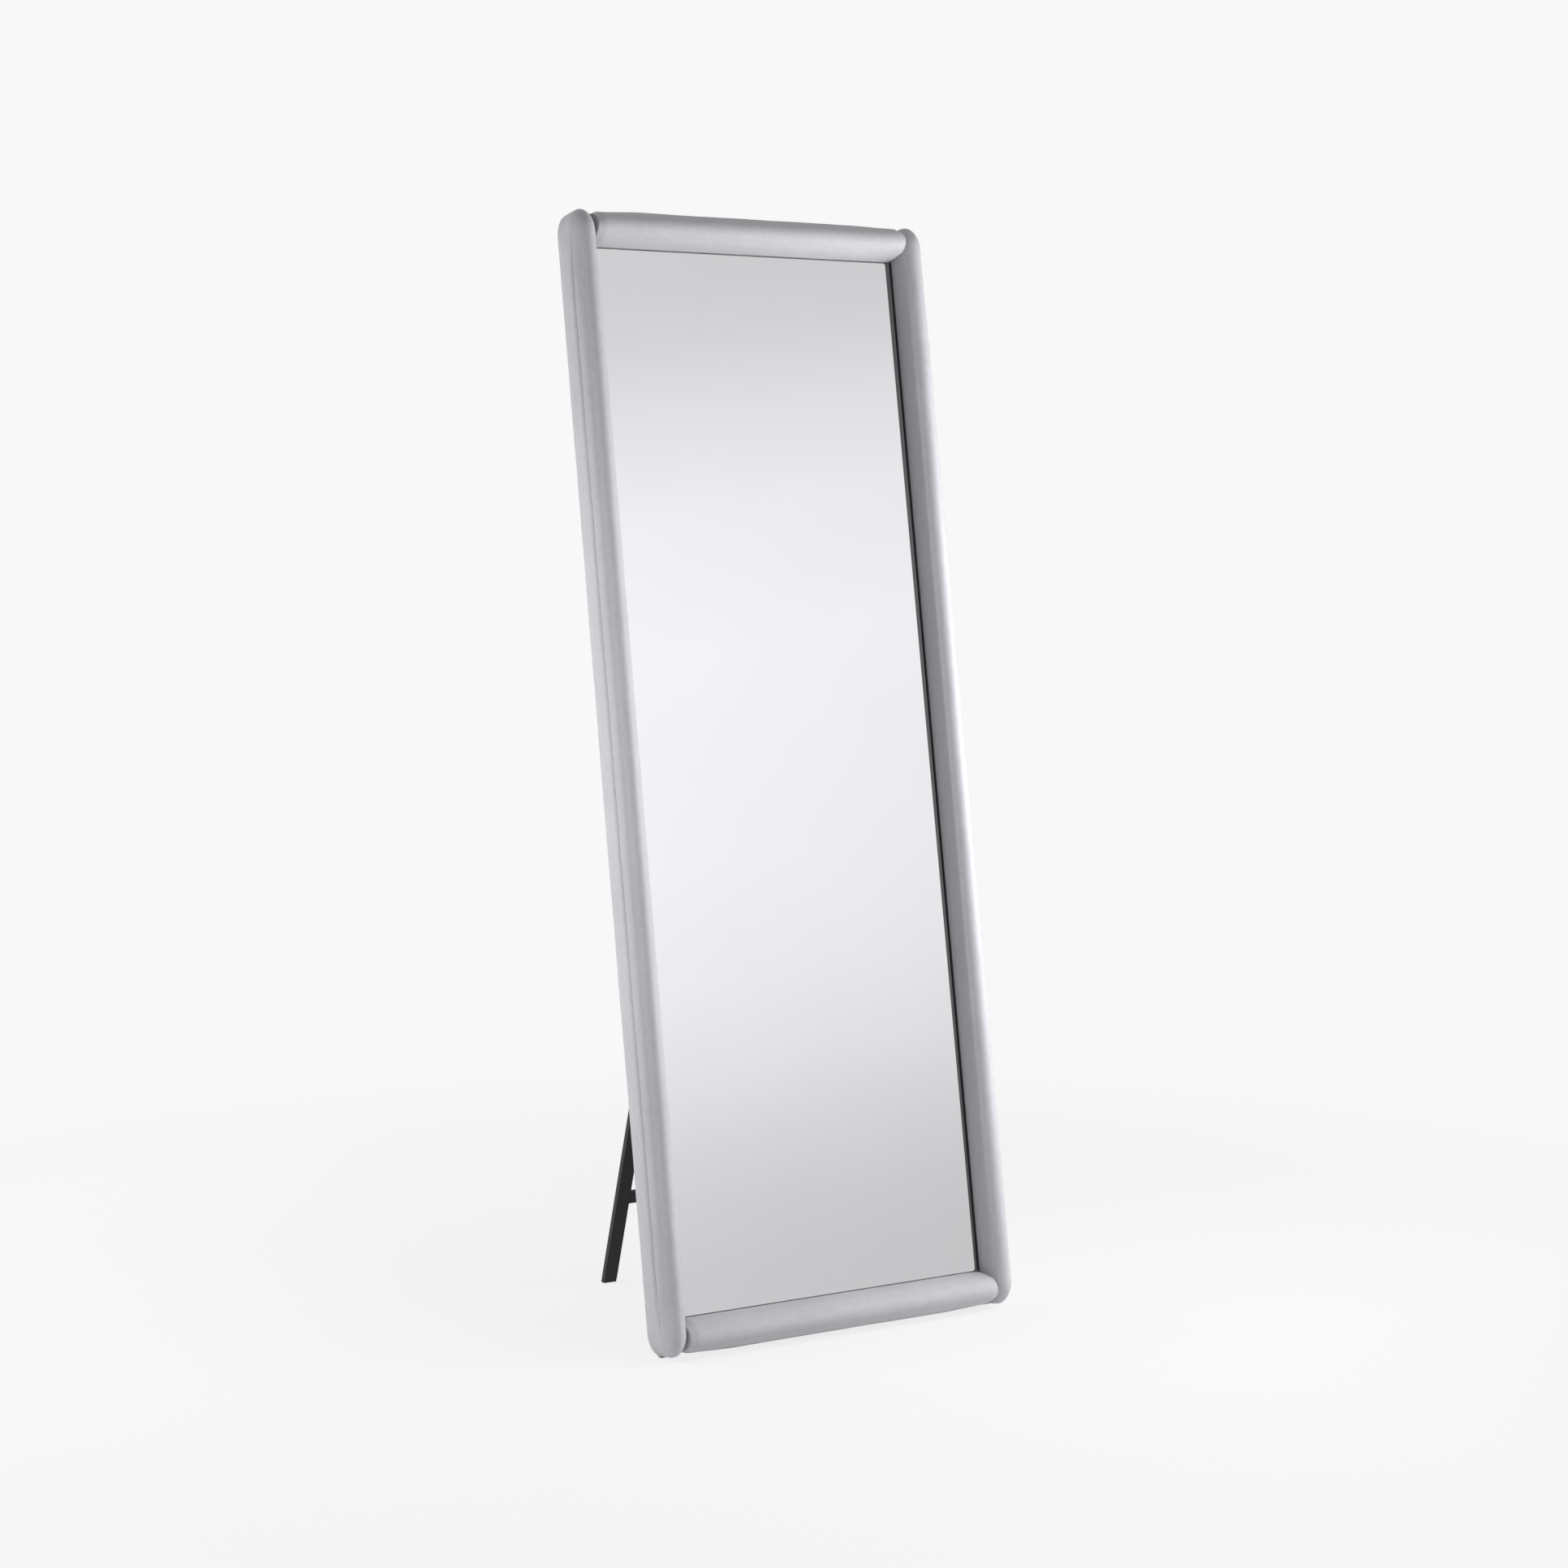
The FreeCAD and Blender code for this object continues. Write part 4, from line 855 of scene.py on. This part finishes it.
def make_floor():
    """A pale floor that takes the object's shadow close by and melts into the background further off."""
    points = [(-FLOOR_REACH, -FLOOR_REACH, 0.0), (FLOOR_REACH, -FLOOR_REACH, 0.0),
              (FLOOR_REACH, FLOOR_REACH, 0.0), (-FLOOR_REACH, FLOOR_REACH, 0.0)]
    floor = add_object("floor", mesh_from("floor", points, [(0, 1, 2, 3)], smooth=False))
    material = bpy.data.materials.new("studio_floor")
    material.use_nodes = True
    tree = material.node_tree
    tree.nodes.clear()
    add, link = adder(tree), tree.links.new
    place = add("TexCoord")
    speck = add("TexNoise")
    speck.inputs["Scale"].default_value = 35.0
    link(place.outputs["Object"], speck.inputs["Vector"])
    tint = add("ValToRGB")
    tint.color_ramp.elements[0].color = (0.80, 0.80, 0.80, 1.0)
    tint.color_ramp.elements[1].color = (0.82, 0.82, 0.82, 1.0)
    link(speck.outputs["Fac"], tint.inputs["Fac"])
    paint = add("BsdfDiffuse")
    link(tint.outputs["Color"], paint.inputs["Color"])
    glow = add("Emission")
    glow.inputs["Color"].default_value = (BACKGROUND, BACKGROUND, BACKGROUND, 1.0)
    distance = add("VectorMath", operation="LENGTH")
    link(place.outputs["Object"], distance.inputs[0])
    fade = add("MapRange", interpolation_type="SMOOTHSTEP")
    fade.inputs["From Min"].default_value = 0.4
    fade.inputs["From Max"].default_value = 2.4
    fade.inputs["To Min"].default_value = 0.86
    fade.inputs["To Max"].default_value = 1.0
    link(distance.outputs["Value"], fade.inputs["Value"])
    path = add("LightPath")
    seen = add("Math", operation="MAXIMUM")
    link(path.outputs["Is Camera Ray"], seen.inputs[0])
    link(path.outputs["Is Glossy Ray"], seen.inputs[1])
    seen_also = add("Math", operation="MAXIMUM")
    link(seen.outputs["Value"], seen_also.inputs[0])
    link(path.outputs["Is Transmission Ray"], seen_also.inputs[1])
    share = add("Math", operation="MULTIPLY")
    link(seen_also.outputs["Value"], share.inputs[0])
    link(fade.outputs["Result"], share.inputs[1])
    mixed = add("MixShader")
    link(share.outputs["Value"], mixed.inputs["Fac"])
    link(paint.outputs["BSDF"], mixed.inputs[1])
    link(glow.outputs["Emission"], mixed.inputs[2])
    out = add("OutputMaterial")
    link(mixed.outputs["Shader"], out.inputs["Surface"])
    floor.data.materials.append(material)


WORLD_LIGHT = 0.06
# Height of the direction looked in (its sine), and the studio's grey there
STUDIO = [
    (-0.02, 0.590), (0.034, 0.608), (0.055, 0.640), (0.077, 0.705), (0.104, 0.800), (0.131, 0.868),
    (0.170, 0.912), (0.240, 0.944), (0.285, 0.895), (0.316, 0.796), (0.341, 0.690), (0.358, 0.648),
    (0.450, 0.600),
]
STUDIO_LOW, STUDIO_HIGH = -0.1, 0.5
STUDIO_LEFT, STUDIO_RIGHT = 0.46, 0.556     # sideways part of the directions the mirror shows


def make_world():
    world = bpy.data.worlds.new("studio")
    world.use_nodes = True
    scene.world = world
    tree = world.node_tree
    tree.nodes.clear()
    add, link = adder(tree), tree.links.new
    light = add("Background")
    light.inputs["Color"].default_value = (1.0, 1.0, 1.0, 1.0)
    light.inputs["Strength"].default_value = WORLD_LIGHT
    wall = add("Background")
    wall.inputs["Color"].default_value = (BACKGROUND, BACKGROUND, BACKGROUND, 1.0)
    place = add("TexCoord")
    parts = add("SeparateXYZ")
    link(place.outputs["Generated"], parts.inputs["Vector"])
    height = add("MapRange")
    height.inputs["From Min"].default_value = STUDIO_LOW
    height.inputs["From Max"].default_value = STUDIO_HIGH
    link(parts.outputs["Z"], height.inputs["Value"])
    ramp = add("ValToRGB")
    ramp.color_ramp.interpolation = "LINEAR"
    elements = ramp.color_ramp.elements
    while len(elements) < len(STUDIO):
        elements.new(0.5)
    for element, (sine, grey) in zip(elements, STUDIO):
        element.position = (sine - STUDIO_LOW) / (STUDIO_HIGH - STUDIO_LOW)
        element.color = (grey, grey * 0.995, grey * 1.008, 1.0)
    link(height.outputs["Result"], ramp.inputs["Fac"])
    studio = add("Background")
    link(ramp.outputs["Color"], studio.inputs["Color"])
    falloff = add("MapRange")
    falloff.inputs["From Min"].default_value = STUDIO_LEFT
    falloff.inputs["From Max"].default_value = STUDIO_RIGHT
    falloff.inputs["To Min"].default_value = 1.04
    falloff.inputs["To Max"].default_value = 0.965
    link(parts.outputs["X"], falloff.inputs["Value"])
    link(falloff.outputs["Result"], studio.inputs["Strength"])
    path = add("LightPath")
    mirrored = add("Math", operation="MAXIMUM")
    link(path.outputs["Is Glossy Ray"], mirrored.inputs[0])
    link(path.outputs["Is Transmission Ray"], mirrored.inputs[1])
    reflected = add("MixShader")
    link(mirrored.outputs["Value"], reflected.inputs["Fac"])
    link(light.outputs["Background"], reflected.inputs[1])
    link(studio.outputs["Background"], reflected.inputs[2])
    seen = add("MixShader")
    link(path.outputs["Is Camera Ray"], seen.inputs["Fac"])
    link(reflected.outputs["Shader"], seen.inputs[1])
    link(wall.outputs["Background"], seen.inputs[2])
    out = add("OutputWorld")
    link(seen.outputs["Shader"], out.inputs["Surface"])


def add_softbox(name, at, towards, width, height, power):
    data = bpy.data.lights.new(name, "AREA")
    data.shape = "RECTANGLE"
    data.size, data.size_y = width, height
    data.energy = power
    made = bpy.data.objects.new(name, data)
    scene.collection.objects.link(made)
    made.location = at
    made.rotation_mode = "QUATERNION"
    made.rotation_quaternion = (Vector(towards) - Vector(at)).to_track_quat("-Z", "Y")
    made.visible_camera = False
    made.visible_glossy = False


# Name, azimuth in degrees from straight in front (positive to the right), distance, height of the lamp's
# middle, width and height of its face, watts
STUDIO_LAMPS = (
    ("key", 45.0, 1.25, 1.05, 0.5, 0.5, 14.0),
    ("key_wide", 22.0, 2.0, 1.05, 1.0, 1.2, 13.0),
    ("key_right", 72.0, 1.8, 1.05, 0.8, 1.2, 15.0),
    ("fill_left", -106.0, 2.0, 1.02, 1.0, 1.2, 26.0),
    ("fill_near", -60.0, 1.25, 1.05, 0.5, 0.5, 2.4),
    ("high", 10.0, 1.6, 2.2, 0.8, 0.5, 9.5),
    ("rim_left", -150.0, 2.0, 0.9, 1.0, 1.2, 12.0),
)
MIRROR_MIDDLE = (0.0, 0.0, 1.0)


def light_studio():
    """Softboxes that face the mirror's middle, and one over the top rail."""
    for name, azimuth, away, height, width, tall, power in STUDIO_LAMPS:
        a = math.radians(azimuth)
        at = (away * math.sin(a), -away * math.cos(a) - 0.05, height)
        add_softbox(name, at, MIRROR_MIDDLE, width, tall, power)
    add_softbox("overhead", (0.0, 0.9, 3.2), (0.0, 0.25, 1.8), 1.6, 1.2, 11.0)


make_floor()
make_world()
light_studio()

scene.view_settings.view_transform = "Standard"
